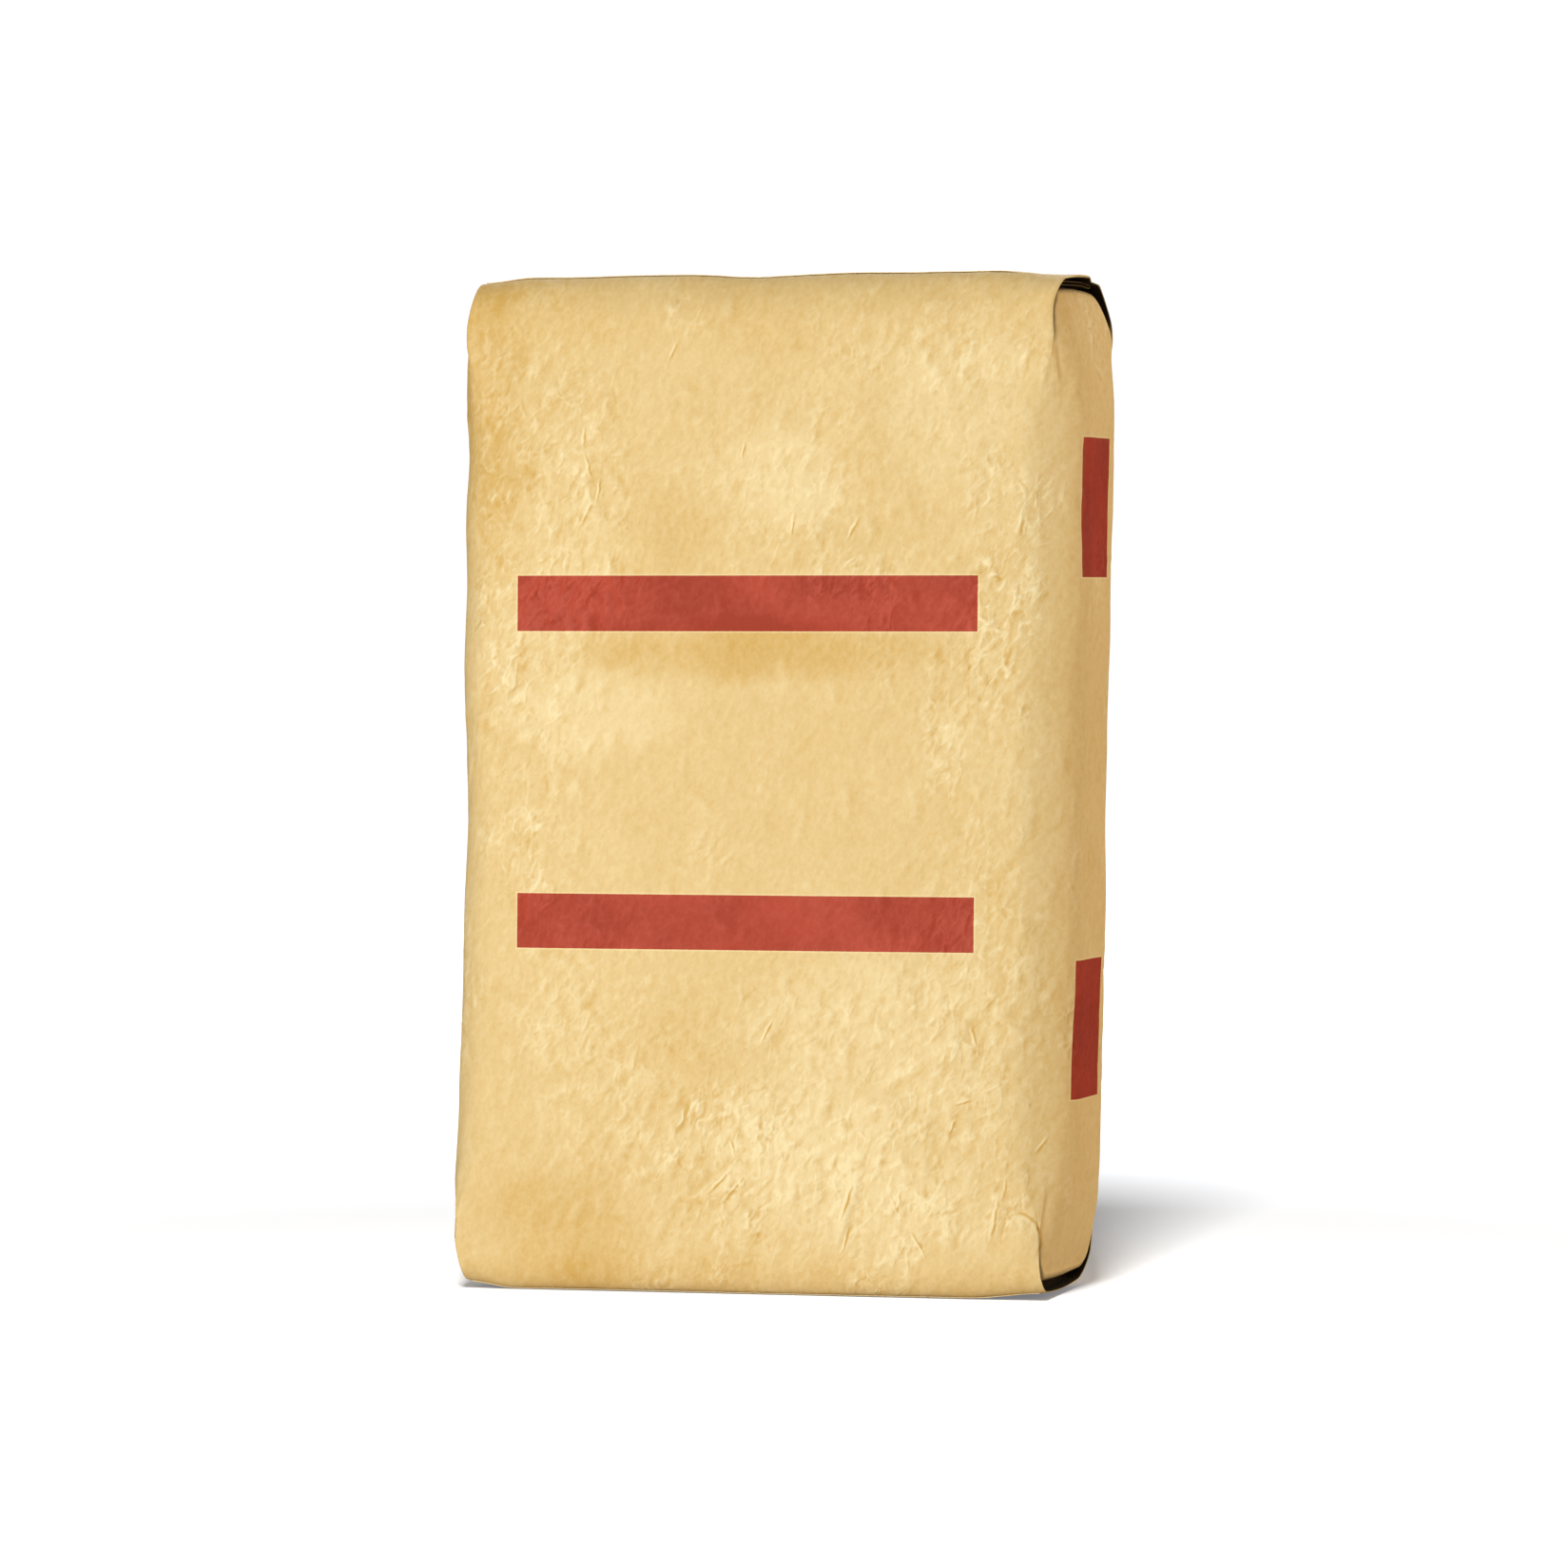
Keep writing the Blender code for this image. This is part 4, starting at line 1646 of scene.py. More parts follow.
PAINTED_FRONT_FOLDS = (
    PaintedFoldLine(0.0590, 0.0610, 0.030, 19.0, 0.00106, 1.0),
    PaintedFoldLine(0.0581, 0.0363, 0.022, 16.0, 0.00092, 0.6),
    PaintedFoldLine(0.0929, 0.0616, 0.018, 8.0, 0.00086, 0.6),
    PaintedFoldLine(0.0899, 0.0590, 0.014, -24.0, 0.00079, 0.4),
    PaintedFoldLine(0.1051, 0.0345, 0.022, -29.0, 0.00086, 0.55),
    PaintedFoldLine(0.0086, 0.1666, 0.020, 29.0, 0.00086, 0.7),
    PaintedFoldLine(0.1409, 0.1642, 0.018, -16.0, 0.00086, 0.5),
    PaintedFoldLine(0.1271, 0.1088, 0.013, 30.0, 0.00086, 0.5),
    PaintedFoldLine(0.1348, 0.1244, 0.014, 72.0, 0.00079, 0.5),
    PaintedFoldLine(0.1534, 0.0498, 0.030, 10.0, 0.00099, 0.7),
    PaintedFoldLine(0.1601, 0.0699, 0.020, 12.0, 0.00079, 0.4),
    PaintedFoldLine(-0.0226, 0.0722, 0.027, 44.0, 0.00092, 0.6),
    PaintedFoldLine(-0.0140, 0.0669, 0.025, 38.0, 0.00086, 0.5),
    PaintedFoldLine(-0.0143, 0.0929, 0.012, -16.0, 0.00086, 0.7),
    PaintedFoldLine(0.1818, 0.0976, 0.016, 34.0, 0.00086, 0.6),
    PaintedFoldLine(-0.0531, 0.5911, 0.017, 29.0, 0.00086, 0.4),
    PaintedFoldLine(-0.1106, 0.5381, 0.018, 9.0, 0.00092, 0.5),
    PaintedFoldLine(-0.1081, 0.5192, 0.020, -15.0, 0.00086, 0.5),
    PaintedFoldLine(-0.1008, 0.5039, 0.018, 9.0, 0.00086, 0.6),
    PaintedFoldLine(-0.1094, 0.4891, 0.022, 27.0, 0.00086, 0.5),
    PaintedFoldLine(-0.0067, 0.5286, 0.012, 7.0, 0.00079, 0.6),
    PaintedFoldLine(0.0254, 0.4820, 0.016, 12.0, 0.00079, 0.6),
    PaintedFoldLine(0.0639, 0.4803, 0.021, 27.0, 0.00099, 0.5),
)
PAINTED_CORNER_ARCH = PaintedFoldArch(0.1705, 0.0386, 0.0122, 0.0156, 0.42)
# painted sheen where a tone is above 0 and painted shade where it is below: a dark band under the
# upper bar, darker top and bottom shoulders and a darker upper left edge
PAINTED_SHEEN_SHADE = (
    PaintedSheenShadePatch(0.0050, 0.4040, 0.1350, 0.0230, 0.0, -0.42),
    PaintedSheenShadePatch(0.0230, 0.5120, 0.0480, 0.0330, 20.0, 0.28),
    PaintedSheenShadePatch(-0.1050, 0.3640, 0.0620, 0.0320, 0.0, 0.30),
    PaintedSheenShadePatch(0.0500, 0.0800, 0.0950, 0.0500, 25.0, 0.30),
    PaintedSheenShadePatch(0.0850, 0.1600, 0.0800, 0.0600, 30.0, 0.18),
    PaintedSheenShadePatch(-0.1250, 0.0400, 0.0680, 0.0480, 0.0, -0.24),
    PaintedSheenShadePatch(-0.1800, 0.5700, 0.0460, 0.1300, 0.0, -0.42),
    PaintedSheenShadePatch(0.0000, 0.6250, 0.2600, 0.0420, 0.0, -0.16),
    PaintedSheenShadePatch(0.0000, 0.0050, 0.2600, 0.0240, 0.0, -0.16),
    PaintedSheenShadePatch(-0.0500, 0.4750, 0.0450, 0.0400, 0.0, -0.14),
    PaintedSheenShadePatch(-0.0450, 0.1500, 0.0400, 0.0480, 0.0, -0.14),
    PaintedSheenShadePatch(0.1300, 0.5600, 0.0500, 0.0700, 0.0, 0.18),
)
FRONT_BARS = (
    PrintedBar(-0.0065, 0.4332, 0.1490, 0.0174),
    PrintedBar(-0.0052, 0.2338, 0.1481, 0.0172),
)
SIDE_BARS = (
    PrintedBar(-0.0106, 0.4930, 0.0302, 0.0435),
    PrintedBar(-0.0092, 0.1678, 0.0312, 0.0432, 0.050),
)


@dataclass(frozen=True)
class KraftFinish:
    """Unbleached kraft paper, matt, crinkled, with plain printed bars.

    The tones are shares in the paper's light and dark, which runs from minus to plus tone_range.
    blotches, crowds and ink_patches hold a noise's scale, detail and roughness. rough_range holds
    the tones where the roughness changes and the roughness there. broad_from and narrow_from are
    how far from the middle planes the broad panels and the narrow sides start.
    """

    name: str
    light: tuple = (0.905, 0.765, 0.478)
    dark: tuple = (0.645, 0.410, 0.124)
    ink: tuple = (0.480, 0.060, 0.035)
    ink_dark: tuple = (0.350, 0.034, 0.017)
    # multiplies the ink on the narrow sides: painted shade of the side bars
    side_ink_painted_shade: tuple = (0.84, 0.38, 0.22)
    crinkle: float = 1.0
    bars: bool = False
    slots: bool = False
    blotches: tuple = (13.0, 3.0, 0.55)
    crowds: tuple = (17.0, 2.0, 0.55)
    crowd_steps: tuple = (0.44, 0.62)
    blotch_tone: float = 0.30
    crease_painted_light_tone: float = 0.30
    crowd_tone: float = 0.14
    fold_painted_light_tone: float = 1.30
    painted_sheen_shade_tone: float = -0.05
    tone_range: float = 0.70
    rough_range: tuple = (-0.3, 0.3, 0.68, 0.56)
    # painted shade of the slots: how much of the near black is mixed in, and that near black
    slot_painted_shade_share: float = 0.99
    slot_painted_shade_colour: tuple = (0.010, 0.005, 0.002)
    specular: float = 0.12
    fold_wobble: tuple = (150.0, 0.0026)
    broad_from: float = 0.050
    narrow_from: float = 0.170
    rim_width: tuple = (0.0015, 0.0004)
    rim_share: float = 0.45
    rim_colour: tuple = (0.95, 0.80, 0.46)
    ink_scale: tuple = (1.0, 1.0, 1.3)
    ink_patches: tuple = (22.0, 2.0, 0.5)
    ink_tone: float = 0.8
    ink_range: float = 0.30
    ink_share: float = 0.985
    ink_gloss: float = 0.08

    def material(self) -> bpy.types.Material:
        """Builds the finish.

        Returns:
            The new material.
        """
        d = Dress(self.name)
        blotch = d.noise(d.place, *self.blotches)
        if self.slots:
            crowded = d.attribute("crumple")
        else:
            crowded = d.map(d.noise(d.place, *self.crowds), *self.crowd_steps)
        height, tone = 0.0, d.sum("MULTIPLY", d.sum("SUBTRACT", blotch, 0.5), self.blotch_tone)
        # the crinkles' tone paints their raised places paler and their low places darker, painted
        # highlight and painted shade, and each hollow copy adds painted shade beside the raised
        # places
        for layer in CRINKLES:
            wave = layer.wave(d, crowded)
            if layer.height:
                height = d.sum("ADD", d.sum("MULTIPLY", wave, layer.height), height)
            tone = d.sum("ADD", tone, d.sum("MULTIPLY", wave, layer.tone))
            if layer.hollow:
                beside = layer.wave(d, crowded, layer.beside)
                tone = d.sum("SUBTRACT", tone, d.sum("MULTIPLY", beside, layer.hollow))
        # painted highlight and painted shade from the creases' ridge measure and the folds, with
        # the crumpled places paler
        if self.slots:
            for value, share in ((d.attribute("ridge"), self.crease_painted_light_tone),
                                 (crowded, self.crowd_tone), (self._painted_folds(d), self.fold_painted_light_tone)):
                tone = d.sum("ADD", tone, d.sum("MULTIPLY", value, share))
            # painted sheen and painted shade patches on the front panel
            tone = d.sum("ADD", tone, self._painted_sheen_shade(d, blotch))
        colour = d.tint(d.map(tone, -self.tone_range, self.tone_range, smooth=False), self.dark,
                        self.light)
        rough = d.map(tone, *self.rough_range)
        if self.bars:
            colour, rough = self._print(d, colour, rough, tone)
        # painted shade: the slot attribute mixes a near black into the paper in the slots
        if self.slots:
            shade = d.sum("MULTIPLY", d.attribute("slot"), self.slot_painted_shade_share)
            colour = d.tint(shade, colour, self.slot_painted_shade_colour)
            rough = d.sum("MAXIMUM", rough, shade)
        return d.finish({"Base Color": colour, "Roughness": rough,
                         "Specular IOR Level": self.specular,
                         "Normal": d.bump(height, self.crinkle, MM)})

    def _painted_folds(self, d: Dress) -> object:
        """The sharp folds painted on the front panel: painted highlight, 1 on a fold's ridge, and
        painted shade, -1 in the hollow beside it.

        Args:
            d: The node tree being built.

        Returns:
            The value socket.
        """
        scale, shift = self.fold_wobble
        wobble = d.sum("SUBTRACT", d.noise(d.place, scale, 1.0), 0.5)
        uneven = d.node("CombineXYZ", {"X": d.sum("MULTIPLY", wobble, shift)}).outputs[0]
        bent = d.node("VectorMath", {0: d.place, 1: uneven}, operation="ADD").outputs["Vector"]
        total = 0.0
        for fold in (*PAINTED_FRONT_FOLDS, PAINTED_CORNER_ARCH):
            total = d.sum("ADD", fold.value(d, bent), total)
        return d.on_front(total)

    def _painted_sheen_shade(self, d: Dress, wobbly: object) -> object:
        """The soft patches of painted sheen and painted shade on the front panel, over a slight
        darkening of the whole panel.

        Args:
            d: The node tree being built.
            wobbly: A noise that makes the patches' edges uneven.

        Returns:
            The value socket.
        """
        total = self.painted_sheen_shade_tone
        for patch in PAINTED_SHEEN_SHADE:
            total = d.sum("ADD", patch.value(d, wobbly), total)
        return d.on_front(total)

    def _print(self, d: Dress, colour: object, rough: object,
               tone: object) -> tuple[object, object]:
        """Lays the printed bars over the paper.

        Args:
            d: The node tree being built.
            colour: The bare paper's colour.
            rough: The bare paper's roughness.
            tone: The paper's light and dark.

        Returns:
            The colour and the roughness with the print on them.
        """
        x, y, z = d.parts(d.place)
        lean = d.sum("MULTIPLY", d.sum("SUBTRACT", z, SHAPE.height / 2.0), SHAPE.lean)
        upright_x = d.sum("SUBTRACT", x, lean)
        broad = d.sum("GREATER_THAN", d.sum("ABSOLUTE", y), self.broad_from)
        narrow = d.sum("GREATER_THAN", d.sum("ABSOLUTE", upright_x), self.narrow_from)
        inked = rim = 0.0
        for place, panel, bars in ((upright_x, broad, FRONT_BARS), (y, narrow, SIDE_BARS)):
            for bar in bars:
                beyond = bar.beyond(d, place, z)
                here = d.sum("MULTIPLY", d.sum("LESS_THAN", beyond, 0.0), panel)
                edge = d.sum("MULTIPLY", d.map(beyond, *self.rim_width), panel)
                inked, rim = d.sum("MAXIMUM", here, inked), d.sum("MAXIMUM", edge, rim)
        colour = d.tint(d.sum("MULTIPLY", rim, self.rim_share), colour, self.rim_colour)
        uneven = d.noise(d.mapped(d.place, self.ink_scale, kind="POINT"), *self.ink_patches)
        pressed = d.sum("ADD", d.sum("SUBTRACT", uneven, 0.5),
                        d.sum("MULTIPLY", tone, self.ink_tone))
        ink = d.tint(d.map(pressed, -self.ink_range, self.ink_range, smooth=False), self.ink_dark,
                     self.ink)
        # painted shade: the ink is darker on the narrow sides
        ink = d.tint(narrow, ink, d.tint(1.0, ink, self.side_ink_painted_shade, "MULTIPLY"))
        colour = d.tint(d.sum("MULTIPLY", inked, self.ink_share), colour, ink)
        return colour, d.sum("SUBTRACT", rough, d.sum("MULTIPLY", inked, self.ink_gloss))


@dataclass(frozen=True)
class PaperSack:
    """The multi-ply paper tube with its folded block ends.

    end_facing and end_height tell the block ends from the panels. The seam measures give where its
    step lies along X, half its run, its rise and where it fades out again.
    """

    shape: SackShape
    relief: SackRelief = SackRelief()
    seed: int = 5
    end_facing: tuple = (0.55, 0.90)
    end_height: tuple = (0.285, 0.305)
    seam_place: float = -0.045
    seam_run: float = 0.0012
    seam_rise: float = 0.0007
    seam_fades: tuple = (0.010, 0.045)

    def skin(self, loft: SackLoft) -> tuple[LoftGrid, np.ndarray, np.ndarray]:
        """The sack's skin with its relief.

        Args:
            loft: The loft that gives the smooth skin.

        Returns:
            The smooth grid, the uneven points and the ridge measure.
        """
        grid = loft.grid()
        normals = grid_normals(grid.points)
        relief, ridge = self.relief.field(grid, self.seed)
        x, y = grid.points[..., 0], grid.points[..., 1]
        height = grid.points[..., 2] - self.shape.height / 2.0
        on_end = smooth_step(np.abs(normals[..., 2]), *self.end_facing)
        on_end = on_end * smooth_step(np.abs(height), *self.end_height)
        relief = relief + self._back_seam(x, y)
        ends = np.where(height > 0.0, END_RELIEF[End.TOP].at(x, y), END_RELIEF[End.BOTTOM].at(x, y))
        relief = blend(relief, ends, on_end) * grid.open_paper**2
        points = grid.points + normals * relief[..., None]
        return grid, points, ridge * grid.open_paper * (1.0 - on_end)

    def _back_seam(self, x: np.ndarray, y: np.ndarray) -> np.ndarray:
        """The pasted overlap of the tube, which runs up the back panel.

        Args:
            x: Places along the width.
            y: Places along the thickness.

        Returns:
            Heights in metres.
        """
        from_seam = np.where(y > 0.0, x - self.seam_place, 1.0)
        edge = smooth_step(from_seam, -self.seam_run, self.seam_run)
        return self.seam_rise * edge * (1.0 - smooth_step(from_seam, *self.seam_fades))

    def build(self) -> bpy.types.Object:
        """Makes the sack's mesh and dresses it.

        Returns:
            The finished sack.
        """
        grid, points, ridge = self.skin(SackLoft(self.shape))
        points = closed(points)
        obj = grid_primitive("sack_paper", *points.shape[:2])
        # slot holds where the finish paints the slots' near black shade
        point_values(obj, "slot", closed(grid.slot_shade))
        # ridge holds where the finish paints each crease's highlight and the shade beside it
        point_values(obj, "ridge", closed(ridge))
        point_values(obj, "crumple", closed(self.relief.crumple(grid)))
        shape_grid(obj, points)
        weld(obj)
        bpy.ops.object.shade_smooth()
        obj.data.materials.append(KraftFinish("kraft_sack_paper", bars=True, slots=True).material())
        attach(obj, "root")
        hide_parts("paper_sack")
        return obj


def thicken(obj: bpy.types.Object, paper: float, offset: float) -> None:
    """Gives a sheet its thickness.

    Args:
        obj: The sheet.
        paper: Its thickness in metres.
        offset: 1 outwards from the sheet and -1 inwards.
    """
    solid = obj.modifiers.new("paper", "SOLIDIFY")
    solid.thickness = paper
    solid.offset = offset
    bpy.ops.object.modifier_apply(modifier="paper")


def crisp(obj: bpy.types.Object) -> None:
    """Shades an object smooth, except over edges that turn by more than CRISP_ANGLE degrees."""
    only_active(obj)
    bpy.ops.object.shade_smooth_by_angle(angle=math.radians(CRISP_ANGLE))


@dataclass(frozen=True)
class EndPatch:
    """The kraft strip pasted over a block end.

    gap is how far it lies off the flaps along its middle. Between the two places of closes, from
    the middle of its length, it comes nearer to them by closer, a share of that gap.
    """

    shape: SackShape
    end: End
    columns: int = 131
    rows: int = 37
    paper: float = 0.0005
    gap: dict = field(default_factory=lambda: {End.TOP: 0.00035, End.BOTTOM: 0.00012})
    closes: tuple = (0.150, 0.180)
    closer: float = 0.7
    light: tuple = (0.88, 0.72, 0.43)
    dark: tuple = (0.66, 0.45, 0.17)
    crinkle: float = 0.5

    def build(self) -> bpy.types.Object:
        """Makes the strip a little above the folded flaps and dresses it.

        Returns:
            The finished strip.
        """
        shape, end = self.shape, self.end
        x, y = np.meshgrid(np.linspace(-0.5, 0.5, self.columns) * shape.patch_length,
                           np.linspace(-0.5, 0.5, self.rows) * shape.patch_width, indexing="ij")
        points = shape.place(x, y, np.full_like(x, end.value * shape.half_body))
        rim = smooth_step(np.abs(x), *self.closes)
        level = END_RELIEF[end].at(points[..., 0], points[..., 1])
        level = level + self.gap[end] * (1.0 - self.closer * rim)
        points[..., 2] += end.value * level
        name = "patch_top" if end is End.TOP else "patch_bottom"
        obj = grid_primitive(name, self.columns, self.rows)
        shape_grid(obj, points)
        thicken(obj, self.paper, 1.0 if end is End.TOP else -1.0)
        weld(obj)
        crisp(obj)
        finish = KraftFinish("kraft_patch_paper_" + end.name.lower(), light=self.light,
                             dark=self.dark, crinkle=self.crinkle)
        obj.data.materials.append(finish.material())
        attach(obj, "root")
        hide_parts("top_patch" if end is End.TOP else "bottom_patch")
        return obj


@dataclass(frozen=True)
class ValveSleeve:
    """The flattened sleeve of paper in the top right corner, its plies a little apart.

    clear is how far it stays inside its CAD box along X and Y, ply half its height, and squareness
    the power that flattens its round section. opened and rippled give the share of its length where
    its mouth opens and ripples, and the waves are the ripple's height, count and start. light and
    dark are kraft darkened to a deep brown: painted shade of the slot it lies in.
    """

    around: int = 48
    along: int = 30
    paper: float = 0.0004
    clear: tuple = (0.0010, 0.0008)
    ply: float = 0.00075
    squareness: tuple = (0.35, 0.5)
    opened: tuple = (0.85, 1.0, 0.7)
    rippled: tuple = (0.75, 1.0)
    ripple: tuple = (0.0006, 95.0, 0.6)
    edge_ripple: tuple = (0.0006, 60.0)
    # kraft darkened to a deep brown: painted shade, as the sleeve lies in the dark slot
    light: tuple = (0.15, 0.09, 0.035)
    dark: tuple = (0.09, 0.05, 0.018)
    crinkle: float = 0.5

    def build(self) -> bpy.types.Object:
        """Bends a flat grid into a flat tube, gives it its paper and dresses it.

        Returns:
            The finished sleeve.
        """
        low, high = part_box("valve_sleeve")
        turn = np.linspace(0.0, 2.0 * np.pi, self.around + 1)
        run = np.linspace(0.0, 1.0, self.along + 1)
        angle, share = np.meshgrid(turn, run, indexing="ij")
        clear_x, clear_y = self.clear
        power_y, power_z = self.squareness
        half_y = (high.y - low.y) / 2.0 - clear_y
        flat = np.sign(np.cos(angle)) * np.abs(np.cos(angle)) ** power_y
        y = (low.y + high.y) / 2.0 + half_y * flat
        ply = self.ply * np.sign(np.sin(angle)) * np.abs(np.sin(angle)) ** power_z
        height, count, start = self.ripple
        wave = height * np.sin(y * count + start) * smooth_step(share, *self.rippled)
        opens, full, wider = self.opened
        mouth = 1.0 + wider * smooth_step(share, opens, full)
        z = (low.z + high.z) / 2.0 + ply * mouth + wave
        height, count = self.edge_ripple
        x = blend(low.x, high.x - clear_x, share) + height * np.sin(y * count) * share
        obj = grid_primitive("valve_paper_sleeve", self.around + 1, self.along + 1)
        shape_grid(obj, np.stack([x, y, z], axis=-1))
        weld(obj)
        thicken(obj, self.paper, -1.0)
        crisp(obj)
        finish = KraftFinish("kraft_valve_paper_painted_shade", light=self.light, dark=self.dark,
                             crinkle=self.crinkle)
        obj.data.materials.append(finish.material())
        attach(obj, "root")
        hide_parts("valve_sleeve")
        return obj


@dataclass(frozen=True)
class LimeFinish:
    """Dry hydrated lime: white, very matt, with small lumps."""

    name: str = "lime_powder"
    pale: tuple = (0.90, 0.89, 0.86)
    grey: tuple = (0.80, 0.79, 0.75)
    lumps: tuple = (160.0, 4.0, 0.6)
    dust: tuple = (1400.0, 2.0, 0.6)
    lump_steps: tuple = (0.35, 0.65)
    lump_bump: tuple = (0.6, 0.0010)
    dust_bump: tuple = (0.4, 0.0002)
    roughness: float = 0.95
    specular: float = 0.2

    def material(self) -> bpy.types.Material:
        """Builds the finish.

        Returns:
            The new material.
        """
        d = Dress(self.name)
        lumps, dust = d.noise(d.place, *self.lumps), d.noise(d.place, *self.dust)
        surface = d.bump(lumps, *self.lump_bump)
        colour = d.tint(d.map(lumps, *self.lump_steps), self.grey, self.pale)
        return d.finish({"Base Color": colour, "Roughness": self.roughness,
                         "Specular IOR Level": self.specular,
                         "Normal": d.bump(dust, *self.dust_bump, surface)})


@dataclass(frozen=True)
class LimeFill:
    """The powder inside the sack.

    settled is how far its surface has sunk, uneven and period the height and the size of its waves,
    edge_settled how much more it has sunk along the long edges, and edge_x and edge_y where these
    start and end.
    """

    settled: float = 0.0022
    uneven: float = 0.0006
    period: tuple = (0.03, 0.03, 0.03)
    seed: int = 71
    edge_settled: float = 0.0050
    edge_x: tuple = (0.130, 0.170)
    edge_y: tuple = (0.020, 0.050)

    def build(self) -> bpy.types.Object:
        """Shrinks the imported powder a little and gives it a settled, uneven surface.

        Returns:
            The finished powder.
        """
        only_active(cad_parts["lime_fill"])
        bpy.ops.object.duplicate()
        obj = bpy.context.object
        obj.name = "lime_powder"
        obj.parent = None
        for key in list(obj.keys()):
            del obj[key]
        only_active(obj)
        bpy.ops.object.mode_set(mode="EDIT")
        bpy.ops.mesh.select_all(action="SELECT")
        bpy.ops.mesh.remove_doubles(threshold=POWDER_WELD_REACH)
        bpy.ops.mesh.subdivide(number_cuts=1)
        bpy.ops.mesh.normals_make_consistent(inside=False)
        bpy.ops.object.mode_set(mode="OBJECT")
        count = len(obj.data.vertices)
        points, normals = np.empty(count * 3), np.empty(count * 3)
        obj.data.vertices.foreach_get("co", points)
        obj.data.vertices.foreach_get("normal", normals)
        points, normals = points.reshape(-1, 3), normals.reshape(-1, 3)
        settle = self.settled + self.uneven * PaperNoise(self.seed).at(points, self.period)
        edge = self.edge_settled * smooth_step(np.abs(points[:, 0]), *self.edge_x)
        settle = settle + edge * smooth_step(np.abs(points[:, 1]), *self.edge_y)
        obj.data.vertices.foreach_set("co", (points - normals * settle[:, None]).ravel())
        obj.data.update()
        bpy.ops.object.shade_smooth()
        obj.data.materials.clear()
        obj.data.materials.append(LimeFinish().material())
        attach(obj, "root")
        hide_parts("lime_fill")
        return obj


class Lit(Enum):
    """What a soft lamp lights."""

    SACK = 1
    FLOOR = 2


@dataclass(frozen=True)
class SoftBox:
    """A large soft lamp, placed round the sack by its azimuth and elevation in degrees."""

    name: str
    azimuth: float
    elevation: float
    distance: float
    size: tuple
    power: float
    colour: tuple
    lit: Lit


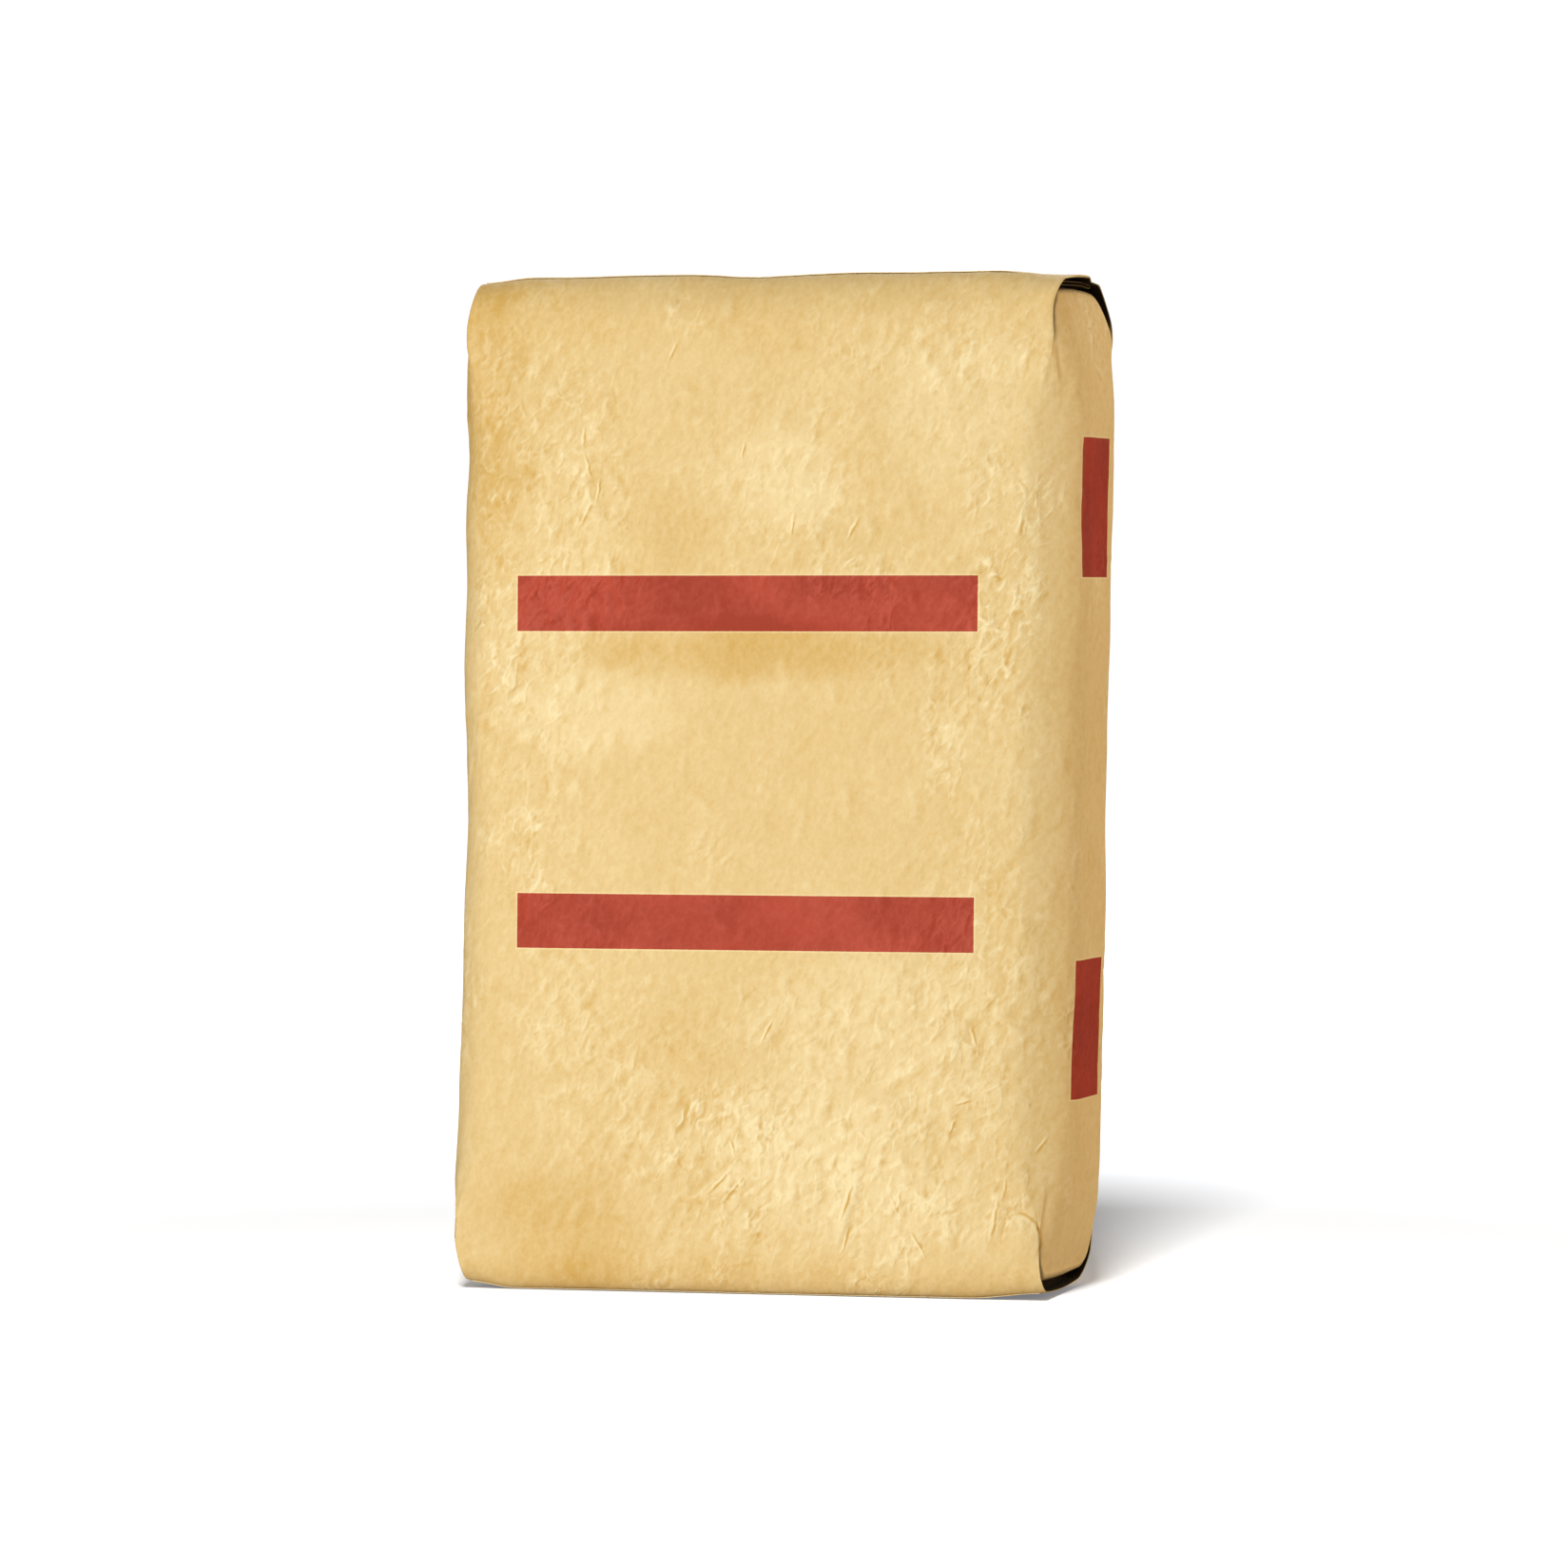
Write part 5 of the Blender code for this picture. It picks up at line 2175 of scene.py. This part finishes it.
@dataclass(frozen=True)
class Studio:
    """The pale floor, the soft lights and the camera.

    yaw and pitch are the camera's place in degrees, aim is where it looks, to the right and up, and
    lens its focal length in millimetres. sky_strength is the sky's at the horizon and overhead.
    glow_from gives the distances from the sack where the floor's glow starts and is full, and
    floor_glow its strength there.
    """

    floor_side: float = 60.0
    floor_cells: int = 8
    yaw: float = 15.2
    pitch: float = 1.30
    distance: float = 5.2
    aim: tuple = (0.0009, 0.319)
    lens: float = 188.8
    sky_strength: tuple = (0.36, 0.06)
    sky_tint: tuple = (1.0, 0.95, 0.86)
    bounce: tuple = (0.34, 0.29, 0.21)
    floor_glow: tuple = (0.21, 0.98)
    glow_from: tuple = (0.62, 1.7)
    glow_tint: tuple = (0.89, 0.925, 1.0, 1.0)
    floor_pale: tuple = ((0.96, 0.96, 0.96), (0.98, 0.98, 0.98))
    floor_patches: tuple = (0.6, 2.0, 0.5)
    floor_roughness: float = 0.9
    floor_specular: float = 0.1
    sky_seen: float = 1.02
    sky_top: float = 0.9
    sensor: float = 36.0
    clips: tuple = (0.1, 100.0)
    boxes: tuple = (
        SoftBox("front_key", -12.0, 1.0, 3.2, (1.2, 0.6), 82.0, (1.0, 0.985, 0.89), Lit.SACK),
        SoftBox("right_warm", 112.0, 10.0, 3.0, (1.4, 1.4), 47.0, (1.0, 0.78, 0.50), Lit.SACK),
        SoftBox("back_fill", 205.0, 36.0, 3.4, (2.0, 1.6), 50.0, (1.0, 0.985, 0.92), Lit.SACK),
        SoftBox("top_fill", 180.0, 68.0, 3.2, (1.8, 1.8), 34.0, (1.0, 0.985, 0.92), Lit.SACK),
        SoftBox("floor_key", 10.8, 35.5, 9.0, (1.4, 3.2), 1120.0, WHITE, Lit.FLOOR),
    )

    @staticmethod
    def direction(azimuth: float, elevation: float) -> Vector:
        """The unit vector from the sack towards an azimuth and an elevation, in degrees."""
        a, e = math.radians(azimuth), math.radians(elevation)
        return Vector((math.sin(a) * math.cos(e), -math.cos(a) * math.cos(e), math.sin(e)))

    def floor(self) -> bpy.types.Object:
        """Lays a wide pale floor, which glows a little more far from the sack.

        Returns:
            The floor.
        """
        bpy.ops.object.select_all(action="DESELECT")
        bpy.ops.mesh.primitive_grid_add(x_subdivisions=self.floor_cells,
                                        y_subdivisions=self.floor_cells, size=self.floor_side)
        obj = bpy.context.object
        obj.name = "studio_floor"
        d = Dress("pale_floor")
        seen = d.node("LightPath").outputs["Is Camera Ray"]
        pale = d.tint(d.noise(d.place, *self.floor_patches), *self.floor_pale)
        reach = d.node("VectorMath", {0: d.place}, operation="LENGTH").outputs["Value"]
        glow = d.map(reach, *self.glow_from, *self.floor_glow)
        obj.data.materials.append(d.finish({
            "Base Color": d.tint(seen, self.bounce, pale), "Roughness": self.floor_roughness,
            "Specular IOR Level": self.floor_specular, "Emission Color": self.glow_tint,
            "Emission Strength": d.sum("MULTIPLY", glow, seen)}))
        return obj

    def sky(self) -> None:
        """Sets a sky that is white to the camera and dims towards the top for the light."""
        world = bpy.data.worlds.new("studio_sky")
        bpy.context.scene.world = world
        world.use_nodes = True
        d = Tree(world.node_tree)
        back = d.tree.nodes["Background"]
        seen = d.node("LightPath").outputs["Is Camera Ray"]
        up = d.parts(d.node("TexCoord").outputs["Generated"])[2]
        dim = d.map(up, 0.0, self.sky_top, *self.sky_strength, smooth=False)
        d.feed(back, {"Strength": d.map(seen, 0.0, 1.0, dim, self.sky_seen, smooth=False),
                      "Color": d.tint(seen, self.sky_tint, WHITE)})

    def lamps(self, pieces: Sequence[bpy.types.Object], floor: bpy.types.Object) -> None:
        """Hangs the soft lamps.

        Args:
            pieces: The sack's pieces.
            floor: The studio floor.
        """
        receivers = {Lit.SACK: bpy.data.collections.new("lit_sack"),
                     Lit.FLOOR: bpy.data.collections.new("lit_floor")}
        for piece in pieces:
            receivers[Lit.SACK].objects.link(piece)
        receivers[Lit.FLOOR].objects.link(floor)
        middle = Vector((0.0, 0.0, SHAPE.height / 2.0))
        for box in self.boxes:
            lamp = bpy.data.lights.new(box.name, "AREA")
            lamp.shape = "RECTANGLE"
            lamp.size, lamp.size_y = box.size
            lamp.energy = box.power
            lamp.color = box.colour
            obj = bpy.data.objects.new(box.name, lamp)
            bpy.context.scene.collection.objects.link(obj)
            towards = self.direction(box.azimuth, box.elevation)
            obj.location = middle + towards * box.distance
            obj.rotation_euler = towards.to_track_quat("Z", "Y").to_euler()
            obj.light_linking.receiver_collection = receivers[box.lit]

    def camera(self) -> bpy.types.Object:
        """Sets the camera at the photograph's viewing angle.

        Returns:
            The camera.
        """
        data = bpy.data.cameras.new("photo_camera")
        data.lens = self.lens
        data.sensor_width = self.sensor
        data.clip_start, data.clip_end = self.clips
        obj = bpy.data.objects.new("photo_camera", data)
        bpy.context.scene.collection.objects.link(obj)
        back = self.direction(self.yaw, self.pitch)
        yaw = math.radians(self.yaw)
        right = Vector((math.cos(yaw), math.sin(yaw), 0.0))
        target = right * self.aim[0] + Vector((0.0, 0.0, self.aim[1]))
        obj.location = target + back * self.distance
        obj.rotation_euler = back.to_track_quat("Z", "Y").to_euler()
        bpy.context.scene.camera = obj
        return obj


def main() -> None:
    """Builds every piece of the sack and the studio, and reports each."""
    logging.basicConfig(level=logging.INFO, format="%(message)s")
    makers = (PaperSack(SHAPE), EndPatch(SHAPE, End.TOP), EndPatch(SHAPE, End.BOTTOM),
              ValveSleeve(), LimeFill())
    pieces = [maker.build() for maker in makers]
    for piece in pieces:
        log.info("%s: %d faces", piece.name, len(piece.data.polygons))
    studio = Studio()
    studio.sky()
    studio.lamps(pieces, studio.floor())
    studio.camera()
    bpy.context.scene.view_settings.view_transform = "Standard"


if __name__ == "__main__":
    main()
